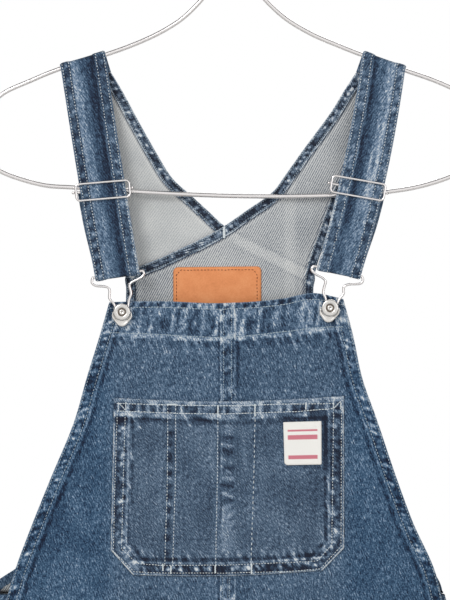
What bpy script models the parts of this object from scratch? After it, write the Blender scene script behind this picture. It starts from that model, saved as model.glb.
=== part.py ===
# Denim bib overalls hanging on a chrome wire hanger.
#
# Sizes are in millimetres, +Z up. The front of the garment faces -Y and x runs to the viewer's
# right. The origin is the inner top of the hanger's hook, where a rail carries it.
# Every cloth piece is a wall: a grid of points on its face, and the same grid moved along the
# normals by the cloth's thickness, closed round the rim.

import bpy
import bmesh
import math
import numpy as np

MM = 0.001

GAP = 0.3                 # between pieces that are sewn together
CLOTH = 1.4               # one layer of denim
HEM = 2.8                 # a turned hem
HEM_WIDTH = 10.4          # armhole, neck and strap hems
STEP = 1.2                # run over which a hem's step falls
SEAM_BAND = 6.5           # half width of the felled centre front seam
SEAM_RISE = 0.9
SEAM_EDGE = 1.4           # the bib pocket lifts over the seam from here
SEAM_CLEAR = 3.4          # and lies flat again from here
CENTRE_X = -4.5           # the garment hangs a little left of the hook

# Heights of the main lines
BIB_TOP_Z = -397.0
BIB_HEM_Z = -426.5        # lower line of the deep hem on top of the bib
WAIST_Z = -600.1          # the yokes' seam with the back
FRONT_MEETS_SIDE = -830.0 # the front's free edge has reached the side seam
LEG_HEM_Z = -1665.0
LEG_END = -1680.0

LEFT = -1
RIGHT = 1


def table(columns, *rows):
    names = columns.split()
    return [dict(zip(names, row)) for row in rows]


# Half width of the front pieces from the centre front seam to the free edge
FRONT_EDGE = table(
    "z left right",
    (-397, 104.7, 102.0),
    (-428, 113.5, 110.5),
    (-466, 125.0, 119.0),
    (-500, 134.6, 131.0),
    (-556, 157.5, 150.0),
    (-591, 171.6, 163.0),
    (-638, 189.0, 184.0),
    (-660, 195.4, 189.6),
    (-700, 209.0, 200.0),
    (-740, 221.0, 214.0),
    (-790, 236.0, 231.0),
    (-830, 250.0, 248.0),
)

# Half width of the garment at its side folds, and of the legs' outer edge
SIDE_FOLD = table(
    "z left right",
    (-397, 140.0, 138.0),
    (-500, 172.0, 168.0),
    (-600, 205.0, 187.0),
    (-640, 216.0, 190.5),
    (-660, 221.0, 192.5),
    (-700, 231.0, 206.0),
    (-740, 238.0, 221.0),
    (-790, 246.0, 238.0),
    (-830, 250.0, 248.0),
    (-880, 254.0, 254.0),
    (-930, 256.0, 256.0),
    (-1000, 254.0, 254.0),
    (-1100, 249.0, 249.0),
    (-1300, 240.0, 240.0),
    (-1500, 234.0, 234.0),
    (-1680, 230.0, 230.0),
)

# The legs' inner edge, from the centre
INSEAM = table(
    "z width",
    (-970, 0.15),
    (-985, 1.5),
    (-1020, 5.0),
    (-1100, 10.0),
    (-1300, 17.0),
    (-1680, 24.0),
)

# Outer faces of front and back at the middle of each section
DEPTH = table(
    "z front back",
    (-200, -12.0, 4.1),
    (-240, -12.0, 7.0),
    (-290, -12.2, 9.0),
    (-397, -12.5, 9.5),
    (-500, -14.5, 13.0),
    (-600, -18.0, 17.0),
    (-660, -20.0, 20.0),
    (-740, -23.0, 23.0),
    (-830, -26.0, 27.0),
    (-930, -27.0, 30.0),
    (-1000, -26.0, 28.0),
    (-1100, -24.0, 25.0),
    (-1300, -22.0, 22.0),
    (-1680, -20.0, 20.0),
)

# Upper edge of the bib, which its two buttons pull up
BIB_TOP = table(
    "x z",
    (-109, -397.8),
    (-73, -396.9),
    (-6, -398.6),
    (45, -394.5),
    (70, -389.8),
    (98, -395.1),
)

# Upper edge of the back's side wings: half width from the centre at each height
WING_EDGE = table(
    "z left right",
    (-600, 155.5, 154.5),
    (-620, 172.5, 170.0),
    (-634, 188.0, 180.5),
    (-642, 200.5, 186.0),
    (-649, 211.0, 189.5),
    (-656, 219.0, 191.0),
)

# Crossed yokes: where each row meets the neck edge and the armhole edge. The inner yoke starts
# at the right shoulder, the outer yoke at the left one, and each reaches the other side.
INNER_YOKE = table(
    "neck_x neck_z arm_x arm_z",
    (97.0, -213.0, 137.0, -224.0),
    (86.2, -230.6, 129.0, -239.0),
    (61.6, -264.0, 112.0, -268.0),
    (47.0, -284.5, 104.0, -286.0),
    (34.3, -301.0, 97.0, -302.0),
    (11.9, -316.8, 91.0, -319.0),
    (-7.0, -330.0, 86.0, -333.0),
    (-22.0, -338.8, 83.0, -342.0),
    (-60.0, -357.0, 76.5, -359.0),
    (-92.5, -372.0, 72.5, -374.0),
    (-94.6, -388.0, 71.3, -388.0),
    (-95.0, -415.0, 72.3, -415.0),
    (-98.0, -455.0, 79.5, -455.0),
    (-110.0, -500.0, 94.0, -500.0),
    (-133.0, -553.0, 121.0, -553.0),
    (-160.0, -599.8, 150.0, -599.8),
)
OUTER_YOKE = table(
    "neck_x neck_z arm_x arm_z",
    (-97.0, -212.5, -138.0, -223.0),
    (-84.0, -236.7, -127.5, -243.0),
    (-68.6, -264.0, -115.0, -268.0),
    (-54.0, -287.5, -108.0, -290.0),
    (-37.0, -303.2, -104.0, -306.0),
    (-22.0, -317.0, -101.0, -319.5),
    (-7.9, -330.0, -99.0, -332.0),
    (7.0, -339.7, -97.5, -342.0),
    (41.4, -355.5, -95.7, -358.0),
    (70.5, -371.0, -94.8, -374.0),
    (71.3, -388.0, -94.6, -388.0),
    (72.3, -415.0, -95.0, -415.0),
    (79.5, -455.0, -98.0, -455.0),
    (94.0, -500.0, -110.0, -500.0),
    (121.0, -553.0, -133.0, -553.0),
    (150.0, -599.8, -160.0, -599.8),
)
YOKE_SPACING = HEM + GAP   # the inner yoke lies this far in front of the outer one

# Soft folds of the hanging cloth: a ridge where the rise is positive
FRONT_FOLDS = table(
    "x top bottom width rise",
    (-150, -880, -1500, 34, 5.0),
    (-85, -980, -1640, 26, -4.5),
    (-190, -760, -1250, 22, -3.5),
    (70, -1000, -1600, 30, 4.5),
    (140, -860, -1450, 28, -4.5),
    (195, -780, -1300, 24, 3.5),
)
BACK_FOLDS = table(
    "x top bottom width rise",
    (-160, -820, -1400, 32, -4.5),
    (-95, -1000, -1600, 28, 4.5),
    (-60, -700, -930, 24, 3.0),
    (50, -720, -940, 26, -3.0),
    (110, -960, -1580, 30, 4.5),
    (180, -800, -1350, 26, -4.0),
)

LEG_ROWS = (-830, -875, -915, -945, -970, -1000, -1050, -1130, -1240, -1360, -1480, -1590,
            LEG_HEM_Z + 1, LEG_HEM_Z - 0.5, LEG_END)
FRONT_ROWS = (BIB_TOP_Z, BIB_HEM_Z + 0.5, BIB_HEM_Z - 1.0, -455, -482, -520, -560, -600, -640, -665,
              -700, -745, -790, -812) + LEG_ROWS
BACK_ROWS = (WAIST_Z, -620, -634, -642, -649, -656, -664, -680, -720, -760, -790, -812) + LEG_ROWS
BIB_TOP_FADE = 70.0       # the bib's edge line dies away over this height
OPENING_END = -812.0      # lower end of the side openings
OPENING_TOP = -656.0      # the side fold starts here
UNDERLAP = 24.0           # the back reaches this far under the front's free edge
CROTCH = -970.0
CROTCH_CURVE = 85.0       # height over which the centre seams curve in to the crotch
SECTION_POWER = 0.35      # 0.5 is an ellipse, less is fuller

# Straps: the wire's axis across the shoulder, and the lower fold
STRAP = {
    LEFT: {"outer_top": (-152.2, -191.2), "inner_top": (-112.6, -179.0),
           "outer_low": (-121.4, -376.4), "inner_low": (-82.3, -370.6), "bow": 0.6},
    RIGHT: {"outer_top": (152.2, -192.8), "inner_top": (114.4, -179.3),
            "outer_low": (112.6, -374.8), "inner_low": (74.4, -366.6), "bow": 3.6},
}
STRAP_CLOTH = 1.9
STRAP_RISE = 0.5          # hems stand proud of the strap's middle
STRAP_HEM = 10.2
BACK_DROP = 16.0          # the strap runs this far down the back to the shoulder seam
RETURN_SHIFT = 2.6        # the strap's turned-back end lies a little outside the front layer

# Wire sizes: radius of the round wire
HANGER_WIRE = 2.0
SLIDER_WIRE = 1.05
BAR_WIRE = 1.2
BUCKLE_WIRE = 1.2

SLIDER = {
    LEFT: {"x": -113.9, "z": -299.5, "tilt": 4.9},
    RIGHT: {"x": 109.6, "z": -297.4, "tilt": -9.9},
}
SLIDER_WIDTH = 45.6
SLIDER_HEIGHT = 14.6
SLIDER_CORNER = 2.6
SLIDER_Y = -13.2          # plane of the slider's frame

BUTTON = {LEFT: (-97.7, -406.6), RIGHT: (85.4, -403.0)}
BUTTON_RADIUS = 7.6
SHANK = 2.6
BUCKLE_Y = -12.5

# Buckle wire round the strap's fold, down past the neck and round the button's shank,
# measured from the button's centre
BUCKLE_ROUTE = table(
    "left_x left_z right_x right_z",
    (-23.8, 30.2, -11.6, 36.5),
    (-6.0, 32.8, 6.0, 32.7),
    (14.8, 35.9, 25.8, 28.5),
    (18.2, 36.3, 28.4, 27.0),
    (19.2, 33.6, 28.9, 24.2),
    (16.6, 30.4, 26.6, 21.4),
    (9.6, 26.9, 17.0, 20.8),
    (6.6, 23.6, 12.3, 18.4),
    (8.0, 16.4, 11.9, 12.6),
    (6.0, 9.6, 8.2, 7.4),
    (5.0, 1.0, 5.2, 0.0),
    (4.4, -5.0, 4.4, -5.6),
    (0.0, -8.2, 0.0, -8.8),
    (-4.4, -5.0, -4.4, -5.6),
    (-5.0, 1.0, -5.2, 0.0),
    (-7.3, 7.4, -3.6, 7.6),
    (-11.0, 12.0, -5.8, 13.0),
    (-11.0, 19.0, -5.0, 18.4),
    (-13.4, 22.1, -3.8, 23.2),
    (-22.6, 23.1, -6.2, 26.4),
    (-26.2, 25.4, -13.2, 30.4),
    (-26.4, 28.4, -16.0, 33.6),
    (-25.6, 30.2, -14.8, 36.4),
)

# Outline of the plate behind the button, right half from top to bottom, and its thickness
PLATE_OUTLINE = table(
    "x z",
    (0.0, 7.2),
    (3.0, 6.6),
    (5.6, 4.6),
    (7.2, 1.6),
    (8.5, -1.0),
    (8.9, -3.4),
    (8.3, -5.8),
    (6.6, -7.8),
    (5.0, -9.9),
    (2.8, -12.0),
    (0.0, -12.8),
)
PLATE = 1.0

# The hanger's wire frame, one turn round from the neck
HANGER_ROUTE = table(
    "x z",
    (0, -97), (7, -101), (22, -123), (44, -145), (68, -160), (92, -170.5), (114.4, -179.3),
    (152.2, -192.8), (181, -203), (205, -215), (218, -229), (222.6, -248), (218, -268), (205, -281),
    (175, -293), (139, -300), (85, -303.6), (0, -304), (-90, -300), (-139, -296.6), (-170, -293.9),
    (-205, -282.5), (-218, -269), (-222.6, -248), (-218, -229), (-203.5, -213.5), (-179.8, -202.4),
    (-152.2, -191.2), (-112.6, -179), (-84, -168.5), (-60, -157), (-40, -143), (-20, -121), (-7, -101),
)
HOOK_OPENING = 22.5       # inner radius of the hook
COLLAR_HEIGHT = 12.0
HOOK_NECK_TOP = -64.0
HOOK_NECK_END = -94.7

# Pocket: row by row from its mouth to its lower edge
POCKET_ROWS = table(
    "left_x left_z right_x right_z dip",
    (-104.7, -482.2, 97.7, -480.5, 3.8),
    (-104.9, -491.0, 97.7, -489.4, 3.8),
    (-105.6, -530.0, 97.7, -528.5, 2.5),
    (-106.4, -570.0, 97.7, -569.0, 1.2),
    (-107.2, -600.0, 97.7, -599.0, 0.4),
    (-107.4, -616.0, 97.7, -614.2, 0.2),
    (-88.0, -637.6, 78.8, -633.6, 2.6),
)
POCKET_SLACK = 1.3        # the pocket stands off the bib in its middle
LABEL_BOX = {"x": (44.0, 78.3), "z": (-539.9, -502.5)}
PATCH_BOX = {"x": (-52.8, 25.1), "z": (-424.0, -366.2)}
PATCH_CORNER = 5.0
PATCH_LEATHER = 1.6
LABEL_CLOTH = 1.0

SIDE_BUTTON_ROWS = (-700.0, -770.0)
SIDE_BUTTON_INSET = 12.0

COLOURS = {
    "denim": (0.066, 0.125, 0.197),
    "strap_denim": (0.05, 0.1, 0.18),
    "leather": (0.7, 0.27, 0.11),
    "label_cloth": (0.8, 0.79, 0.76),
    "chrome": (0.8, 0.8, 0.82),
    "button_metal": (0.62, 0.62, 0.63),
}


def read(rows, column, where, key="z"):
    """Smooth value of one column of a table at a place along its key column."""
    ordered = sorted(rows, key=lambda row: row[key])
    places = np.array([float(row[key]) for row in ordered])
    values = np.array([float(row[column]) for row in ordered])
    where = min(max(where, places[0]), places[-1])
    slopes = np.gradient(values, places)
    index = min(max(int(np.searchsorted(places, where)) - 1, 0), len(places) - 2)
    run = places[index + 1] - places[index]
    t = (where - places[index]) / run
    start = values[index] * (2 * t ** 3 - 3 * t ** 2 + 1) + slopes[index] * run * (t ** 3 - 2 * t ** 2 + t)
    end = values[index + 1] * (3 * t ** 2 - 2 * t ** 3) + slopes[index + 1] * run * (t ** 3 - t ** 2)
    return start + end


def ease(value, low, high):
    """0 at low, 1 at high, smooth between, whichever of the two is larger."""
    t = min(max((value - low) / (high - low), 0.0), 1.0)
    return t * t * (3 - 2 * t)


def side_name(side):
    return "left" if side == LEFT else "right"


def material(name):
    known = bpy.data.materials.get(name)
    if known:
        return known
    made = bpy.data.materials.new(name)
    made.use_nodes = True
    shader = made.node_tree.nodes["Principled BSDF"]
    shader.inputs["Base Color"].default_value = (*COLOURS[name], 1.0)
    metal = name in ("chrome", "button_metal")
    shader.inputs["Metallic"].default_value = 1.0 if metal else 0.0
    shader.inputs["Roughness"].default_value = 0.25 if metal else 0.85
    return made


def solid(name, points, faces, material_name, smooth=True):
    """A mesh object from millimetre points, turned so that its faces point out."""
    mesh = bpy.data.meshes.new(name)
    mesh.from_pydata([[float(c) * MM for c in point] for point in points], [], faces)
    work = bmesh.new()
    work.from_mesh(mesh)
    if work.calc_volume(signed=True) < 0:
        bmesh.ops.reverse_faces(work, faces=work.faces)
    work.to_mesh(mesh)
    work.free()
    mesh.materials.append(material(material_name))
    if smooth:
        mesh.shade_smooth()
        mesh.set_sharp_from_angle(angle=math.radians(40))
    thing = bpy.data.objects.new(name, mesh)
    bpy.context.scene.collection.objects.link(thing)
    return thing


def normals(grid, facing, probe):
    """Unit normals of a grid of points; at the probe they look the way of facing."""
    across = np.gradient(grid, axis=1)
    down = np.gradient(grid, axis=0)
    found = np.cross(down, across)
    found /= np.maximum(np.linalg.norm(found, axis=2, keepdims=True), 1e-9)
    if np.dot(found[probe], facing) < 0:
        found = -found
    return found


def wall(name, face, depth, material_name, facing, probe=(0, 0), rise=None, limit=None):
    """A cloth wall behind a grid of face points. depth and rise are grids; limit corrects the back."""
    out = normals(face, facing, probe)
    back = face - out * depth[..., None]
    front = face if rise is None else face + out * rise[..., None]
    if limit is not None:
        back = limit(back)
    rows, columns = face.shape[:2]
    points = np.concatenate([front.reshape(-1, 3), back.reshape(-1, 3)])
    count = rows * columns
    faces = []
    for row in range(rows - 1):
        for column in range(columns - 1):
            a = row * columns + column
            b = a + 1
            c = a + columns + 1
            d = a + columns
            faces.append((a, b, c, d))
            faces.append((count + d, count + c, count + b, count + a))
    rim = [column for column in range(columns)]
    rim += [row * columns + columns - 1 for row in range(1, rows)]
    rim += [(rows - 1) * columns + column for column in range(columns - 2, -1, -1)]
    rim += [row * columns for row in range(rows - 2, 0, -1)]
    for here, there in zip(rim, rim[1:] + rim[:1]):
        faces.append((there, here, count + here, count + there))
    return solid(name, points, faces, material_name)


def smooth_route(points, steps, closed):
    """A Catmull-Rom curve through the points."""
    points = [np.array(point, float) for point in points]
    count = len(points)
    spans = count if closed else count - 1
    route = []
    for span in range(spans):
        if closed:
            p0, p1, p2, p3 = (points[(span + shift) % count] for shift in (-1, 0, 1, 2))
        else:
            p1 = points[span]
            p2 = points[span + 1]
            p0 = points[span - 1] if span else p1 + (p1 - p2)
            p3 = points[span + 2] if span + 2 < count else p2 + (p2 - p1)
        for step in range(steps):
            t = step / steps
            route.append(0.5 * (2 * p1 + (p2 - p0) * t + (2 * p0 - 5 * p1 + 4 * p2 - p3) * t ** 2
                                + (3 * p1 - p0 - 3 * p2 + p3) * t ** 3))
    if not closed:
        route.append(points[-1])
    return route


def wire(name, route, radius, sides, material_name, closed, across=(0, 1, 0)):
    """A round wire along a route that is never parallel to across."""
    route = np.array(route, float)
    count = len(route)
    if closed:
        tangents = np.roll(route, -1, axis=0) - np.roll(route, 1, axis=0)
    else:
        tangents = np.gradient(route, axis=0)
    points = []
    for place, tangent in zip(route, tangents):
        tangent = tangent / np.linalg.norm(tangent)
        first = np.cross(tangent, across)
        first /= np.linalg.norm(first)
        second = np.cross(tangent, first)
        for side in range(sides):
            angle = 2 * math.pi * side / sides
            points.append(place + radius * (first * math.cos(angle) + second * math.sin(angle)))
    faces = []
    rings = count if closed else count - 1
    for ring in range(rings):
        here = ring * sides
        there = ((ring + 1) % count) * sides
        for side in range(sides):
            turn = (side + 1) % sides
            faces.append((here + side, here + turn, there + turn, there + side))
    if not closed:
        faces.append(tuple(reversed(range(sides))))
        faces.append(tuple(range((count - 1) * sides, count * sides)))
    return solid(name, points, faces, material_name)


def turned(name, centre, profile, segments, material_name):
    """A turned piece; the profile's pairs are radius and distance to the front, pole to pole."""
    points = []
    faces = []

    def place(radius, along, angle):
        wide = radius * math.cos(angle)
        tall = radius * math.sin(angle)
        return (centre[0] + wide, centre[1] - along, centre[2] + tall)

    points.append(place(0, profile[0][1], 0))
    for radius, along in profile[1:-1]:
        for segment in range(segments):
            points.append(place(radius, along, 2 * math.pi * segment / segments))
    points.append(place(0, profile[-1][1], 0))
    last = len(points) - 1
    bands = len(profile) - 2
    for segment in range(segments):
        turn = (segment + 1) % segments
        faces.append((0, 1 + turn, 1 + segment))
        for band in range(bands - 1):
            here = 1 + band * segments
            there = here + segments
            faces.append((here + segment, here + turn, there + turn, there + segment))
        end = 1 + (bands - 1) * segments
        faces.append((last, end + segment, end + turn))
    return solid(name, points, faces, material_name)


def ring_plate(name, outer, inner, start, thickness, material_name, upright=False):
    """A plate with a hole: two outlines of as many points, extruded along y, or along z if upright."""
    count = len(outer)
    points = []
    for outline in (outer, inner):
        for level in (start, start + thickness):
            points += [(a, b, level) if upright else (a, level, b) for a, b in outline]
    faces = []
    for index in range(count):
        turn = (index + 1) % count
        outer_front, outer_back, inner_front, inner_back = (block * count for block in range(4))
        faces.append((outer_front + index, outer_front + turn, inner_front + turn, inner_front + index))
        faces.append((outer_back + turn, outer_back + index, inner_back + index, inner_back + turn))
        faces.append((outer_front + turn, outer_front + index, outer_back + index, outer_back + turn))
        faces.append((inner_front + index, inner_front + turn, inner_back + turn, inner_back + index))
    return solid(name, points, faces, material_name)


def folds(rows, x, z):
    """How far the cloth's soft folds move it outwards."""
    total = 0.0
    for fold in rows:
        along = ease(z, fold["top"], fold["top"] - 120) * ease(z, fold["bottom"], fold["bottom"] + 160)
        total += fold["rise"] * along * math.exp(-((x - fold["x"]) / fold["width"]) ** 2)
    return total


def section(side, x, z):
    """How full the garment is at x: 1 in the middle of a section, 0 at its edges."""
    fold = read(SIDE_FOLD, side_name(side), z)
    width = (x - CENTRE_X) * side
    body = max(1 - (width / fold) ** 2, 0.0) ** SECTION_POWER
    inner = read(INSEAM, "width", z)
    middle = (fold + inner) / 2
    half = (fold - inner) / 2
    leg = max(1 - ((width - middle) / half) ** 2, 0.0) ** SECTION_POWER
    blend = ease(z, CROTCH + CROTCH_CURVE, CROTCH)
    return body * (1 - blend) + leg * blend


def inner_edge(z):
    return read(INSEAM, "width", z) if z < CROTCH else GAP / 2


def front_face(side, x, z):
    """y of the front's outer face."""
    full = section(side, x, z)
    return read(DEPTH, "front", z) * full - folds(FRONT_FOLDS, x, z) * full - GAP / 2


def back_face(side, x, z):
    """y of the back's outer face: flat across the yokes, rounded to the sides below them."""
    rounding = ease(z, -500, -650)
    full = 1 - rounding * (1 - section(side, x, z))
    return read(DEPTH, "back", z) * full + folds(BACK_FOLDS, x, z) * full + GAP / 2


def front_columns(inner, outer):
    """Distances from the centre at which a row of the front has its points."""
    near = [inner, inner + 2, inner + SEAM_BAND - 0.2, inner + SEAM_BAND + 1.0]
    far = [outer - 24, outer - HEM_WIDTH - STEP, outer - HEM_WIDTH, outer - 3.5, outer - 0.8, outer]
    start = near[-1]
    end = far[0]
    middle = [start + (end - start) * share for share in (0.25, 0.5, 0.78)]
    return near + middle + far


def bib_shift(x, z):
    """The rows near the bib's upper edge follow its line."""
    return (read(BIB_TOP, "z", x, "x") - BIB_TOP_Z) * ease(z, BIB_TOP_Z - BIB_TOP_FADE, BIB_TOP_Z)


def front_piece(side):
    grid = []
    depth = []
    rise = []
    for z in FRONT_ROWS:
        edge_rows = FRONT_EDGE if z > FRONT_MEETS_SIDE else SIDE_FOLD
        outer = read(edge_rows, side_name(side), z)
        inner = inner_edge(z)
        row = []
        row_depth = []
        row_rise = []
        for width in front_columns(inner, outer):
            x = CENTRE_X + side * width
            row.append((x, front_face(side, x, z), z + bib_shift(x, z)))
            free_edge = z > FRONT_MEETS_SIDE and width > outer - HEM_WIDTH - 0.1
            hemmed = free_edge or z > BIB_HEM_Z or z < LEG_HEM_Z
            row_depth.append(HEM if hemmed else CLOTH)
            row_rise.append(SEAM_RISE if width < inner + SEAM_BAND and z > CROTCH + CROTCH_CURVE else 0.0)
        grid.append(row)
        depth.append(row_depth)
        rise.append(row_rise)

    def limit(back):
        back[..., 1] = np.minimum(back[..., 1], -GAP / 2)
        centre_side = (back[..., 0] - CENTRE_X) * side
        back[..., 0] = CENTRE_X + side * np.maximum(centre_side, GAP / 2)
        return back

    wall("front_" + side_name(side), np.array(grid), np.array(depth), "denim", (0, -1, 0),
         probe=(3, 3), rise=np.array(rise), limit=limit)


def back_end_angle(side, z):
    """Angle round the section at which the back piece ends: 90 degrees is the side seam."""
    fold = read(SIDE_FOLD, side_name(side), z)
    if z >= OPENING_TOP:
        return math.asin(min(read(WING_EDGE, side_name(side), z) / fold, 0.999))
    if z <= OPENING_END:
        return math.pi / 2
    under = read(FRONT_EDGE, side_name(side), z) - UNDERLAP
    reach = math.pi - math.asin(under / fold)
    return math.pi / 2 + (reach - math.pi / 2) * ease(z, OPENING_END, OPENING_END + 40)


def back_point(side, share, z):
    fold = read(SIDE_FOLD, side_name(side), z)
    inner = inner_edge(z)
    angle = share * back_end_angle(side, z)
    body_width = max(fold * math.sin(angle), inner)
    leg_width = (fold + inner) / 2 + (fold - inner) / 2 * math.sin((share - 0.5) * math.pi)
    blend = ease(z, CROTCH + CROTCH_CURVE, CROTCH)
    x = CENTRE_X + side * (body_width * (1 - blend) + leg_width * blend)
    if angle <= math.pi / 2 or z <= OPENING_END:
        return (x, back_face(side, x, z), z)
    free_edge = read(FRONT_EDGE, side_name(side), z)
    under = ease(body_width, fold, min(free_edge + 1, fold - 1)) * (HEM + 4 * GAP)
    return (x, min(front_face(side, x, z) + under, 0.0), z)


def back_piece(side):
    columns = 13
    grid = []
    depth = []
    for z in BACK_ROWS:
        grid.append([back_point(side, column / (columns - 1), z) for column in range(columns)])
        depth.append([HEM if z < LEG_HEM_Z else CLOTH] * columns)

    def limit(back):
        seamed = back[..., 2] < OPENING_END + 5
        back[..., 1] = np.where(seamed, np.maximum(back[..., 1], GAP / 2), back[..., 1])
        centre_side = (back[..., 0] - CENTRE_X) * side
        back[..., 0] = CENTRE_X + side * np.maximum(centre_side, GAP / 2)
        return back

    wall("back_" + side_name(side), np.array(grid), np.array(depth), "denim", (0, 1, 0),
         probe=(2, 3), limit=limit)


def across_up(outer, inner):
    """Unit vector square to the line between two edge points, pointing up."""
    line = np.array(outer) - np.array(inner)
    up = np.array([line[1], -line[0]]) / np.linalg.norm(line)
    return up if up[1] > 0 else -up


def hem_reach(rows, index, edge):
    """Run along a row that gives the hem its true width across a slanting edge."""
    before = rows[max(index - 1, 0)]
    after = rows[min(index + 1, len(rows) - 1)]
    here = rows[index]
    slope = np.array([after[edge + "_x"] - before[edge + "_x"], after[edge + "_z"] - before[edge + "_z"]])
    run = np.array([here["arm_x"] - here["neck_x"], here["arm_z"] - here["neck_z"]])
    length = np.linalg.norm(run)
    turn = abs(slope[0] * run[1] - slope[1] * run[0]) / (np.linalg.norm(slope) * length)
    return min(HEM_WIDTH / max(turn, 0.3), 0.32 * length) / length


def shoulder_row(side):
    """The yoke's upper edge, just below the strap's end."""
    sizes = STRAP[side]
    up = across_up(sizes["outer_top"], sizes["inner_top"])
    outer = np.array(sizes["outer_top"]) - up * (BACK_DROP + GAP)
    inner = np.array(sizes["inner_top"]) - up * (BACK_DROP + GAP)
    return {"neck_x": inner[0], "neck_z": inner[1], "arm_x": outer[0], "arm_z": outer[1]}


def yoke(name, side, rows, forward):
    """One crossed yoke; forward moves it towards the wearer, off the other yoke."""
    rows = [shoulder_row(side)] + rows
    grid = []
    depth = []
    for index, row in enumerate(rows):
        length = math.hypot(row["arm_x"] - row["neck_x"], row["arm_z"] - row["neck_z"])
        neck = hem_reach(rows, index, "neck")
        arm = 1 - hem_reach(rows, index, "arm")
        fall = STEP / length
        low = neck + fall
        high = arm - fall
        shares = [0, neck, low, low + (high - low) / 3, low + (high - low) * 2 / 3, high, arm, 1]
        points = []
        for share in shares:
            x = row["neck_x"] + (row["arm_x"] - row["neck_x"]) * share
            z = row["neck_z"] + (row["arm_z"] - row["neck_z"]) * share
            here = LEFT if x < CENTRE_X else RIGHT
            points.append((x, back_face(here, x, z) - forward * ease(z, -205, -290), z))
        grid.append(points)
        depth.append([HEM, HEM, CLOTH, CLOTH, CLOTH, CLOTH, HEM, HEM])
    wall(name, np.array(grid), np.array(depth), "denim", (0, 1, 0), probe=(8, 3))


def strap_rows(side):
    """Rows of a strap: its two edge points and y, from the shoulder seam over the wire and down."""
    sizes = STRAP[side]
    outer_top = np.array(sizes["outer_top"])
    inner_top = np.array(sizes["inner_top"])
    outer_low = np.array(sizes["outer_low"])
    inner_low = np.array(sizes["inner_low"])
    up = across_up(outer_top, inner_top)
    low_up = across_up(outer_low, inner_low)
    rows = []
    over = HANGER_WIRE + GAP + STRAP_CLOTH
    for drop in (BACK_DROP, 6.0):
        rows.append((outer_top - up * drop, inner_top - up * drop, over))
    for step in range(5):
        angle = math.pi * step / 4
        lift = up * over * math.sin(angle)
        rows.append((outer_top + lift, inner_top + lift, over * math.cos(angle)))
    front_y = SLIDER_Y + SLIDER_WIRE + GAP
    round_bar = BUCKLE_WIRE + GAP + STRAP_CLOTH
    end_y = BUCKLE_Y - round_bar
    for share in (0.08, 0.2, 0.34, 0.46, 0.56, 0.64, 0.72, 0.86, 0.97):
        bow = np.array([side * sizes["bow"] * 4 * share * (1 - share), 0])
        outer = outer_top + (outer_low - outer_top) * share + bow
        inner = inner_top + (inner_low - inner_top) * share + bow
        if share < 0.56:
            y = -over + (front_y + over) * ease(share, 0.0, 0.56)
        else:
            y = front_y + (end_y - front_y) * ease(share, 0.66, 0.97)
        rows.append((outer, inner, y))
    for step in range(1, 6):
        angle = math.pi * step / 6
        drop = low_up * round_bar * math.sin(angle)
        rows.append((outer_low - drop, inner_low - drop, BUCKLE_Y - round_bar * math.cos(angle)))
    behind = front_y + 2 * STRAP_CLOTH + 2 * BAR_WIRE + 3 * GAP
    for share in (0.98, 0.9, 0.78, 0.68, 0.6):
        shift = np.array([side * RETURN_SHIFT * ease(share, 0.97, 0.7), 0])
        bow = np.array([side * sizes["bow"] * 4 * share * (1 - share), 0])
        outer = outer_top + (outer_low - outer_top) * share + bow + shift
        inner = inner_top + (inner_low - inner_top) * share + bow + shift
        y = BUCKLE_Y + round_bar + (behind - BUCKLE_Y - round_bar) * ease(share, 0.97, 0.7)
        rows.append((outer, inner, y))
    return rows


def strap(side):
    grid = []
    rise = []
    for outer, inner, y in strap_rows(side):
        width = np.linalg.norm(outer - inner)
        hem = STRAP_HEM / width
        fall = STEP / width
        shares = [0, hem, hem + fall, 0.5, 1 - hem - fall, 1 - hem, 1]
        points = [outer + (inner - outer) * share for share in shares]
        grid.append([(point[0], y, point[1]) for point in points])
        rise.append([0, 0, -STRAP_RISE, -STRAP_RISE, -STRAP_RISE, 0, 0])
    grid = np.array(grid)
    depth = np.full(grid.shape[:2], STRAP_CLOTH)
    wall("strap_" + side_name(side), grid, depth, "strap_denim", (0, -1, 0),
         probe=(12, 3), rise=np.array(rise))


def on_front(x, z, off):
    """A point off the front's face, over the felled seam where it is there."""
    side = LEFT if x < CENTRE_X else RIGHT
    near_seam = 1 - ease(abs(x - CENTRE_X), SEAM_BAND + SEAM_EDGE, SEAM_BAND + SEAM_CLEAR)
    return (x, front_face(side, x, z) - off - SEAM_RISE * near_seam, z)


def pocket_point(across, row):
    """A point of the pocket's back face; across is 0 at its left edge and 1 at its right edge."""
    x = row["left_x"] + (row["right_x"] - row["left_x"]) * across
    z = row["left_z"] + (row["right_z"] - row["left_z"]) * across
    z -= row["dip"] * math.sin(math.pi * across)
    return x, z


def pocket_slack(x, z):
    across = (x - POCKET_ROWS[0]["left_x"]) / (POCKET_ROWS[0]["right_x"] - POCKET_ROWS[0]["left_x"])
    middle = math.sin(math.pi * min(max(across, 0), 1))
    down = ease(z, -637, -600) * ease(z, -470, -500)
    return POCKET_SLACK * middle * (0.3 + 0.7 * down)


def pocket():
    span = POCKET_ROWS[0]["right_x"] - POCKET_ROWS[0]["left_x"]
    seam = (CENTRE_X - POCKET_ROWS[0]["left_x"]) / span
    near = (SEAM_BAND + SEAM_EDGE) / span
    far = (SEAM_BAND + SEAM_CLEAR) / span
    shares = [0, 0.07, 0.25, seam - far, seam - near, seam + near, seam + far, 0.75, 0.93, 1]
    grid = []
    for row in POCKET_ROWS:
        points = []
        for share in shares:
            x, z = pocket_point(share, row)
            points.append(on_front(x, z, GAP + 0.1 + CLOTH + pocket_slack(x, z)))
        grid.append(points)
    grid = np.array(grid)
    wall("bib_pocket", grid, np.full(grid.shape[:2], CLOTH), "denim", (0, -1, 0), probe=(2, 2))


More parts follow.
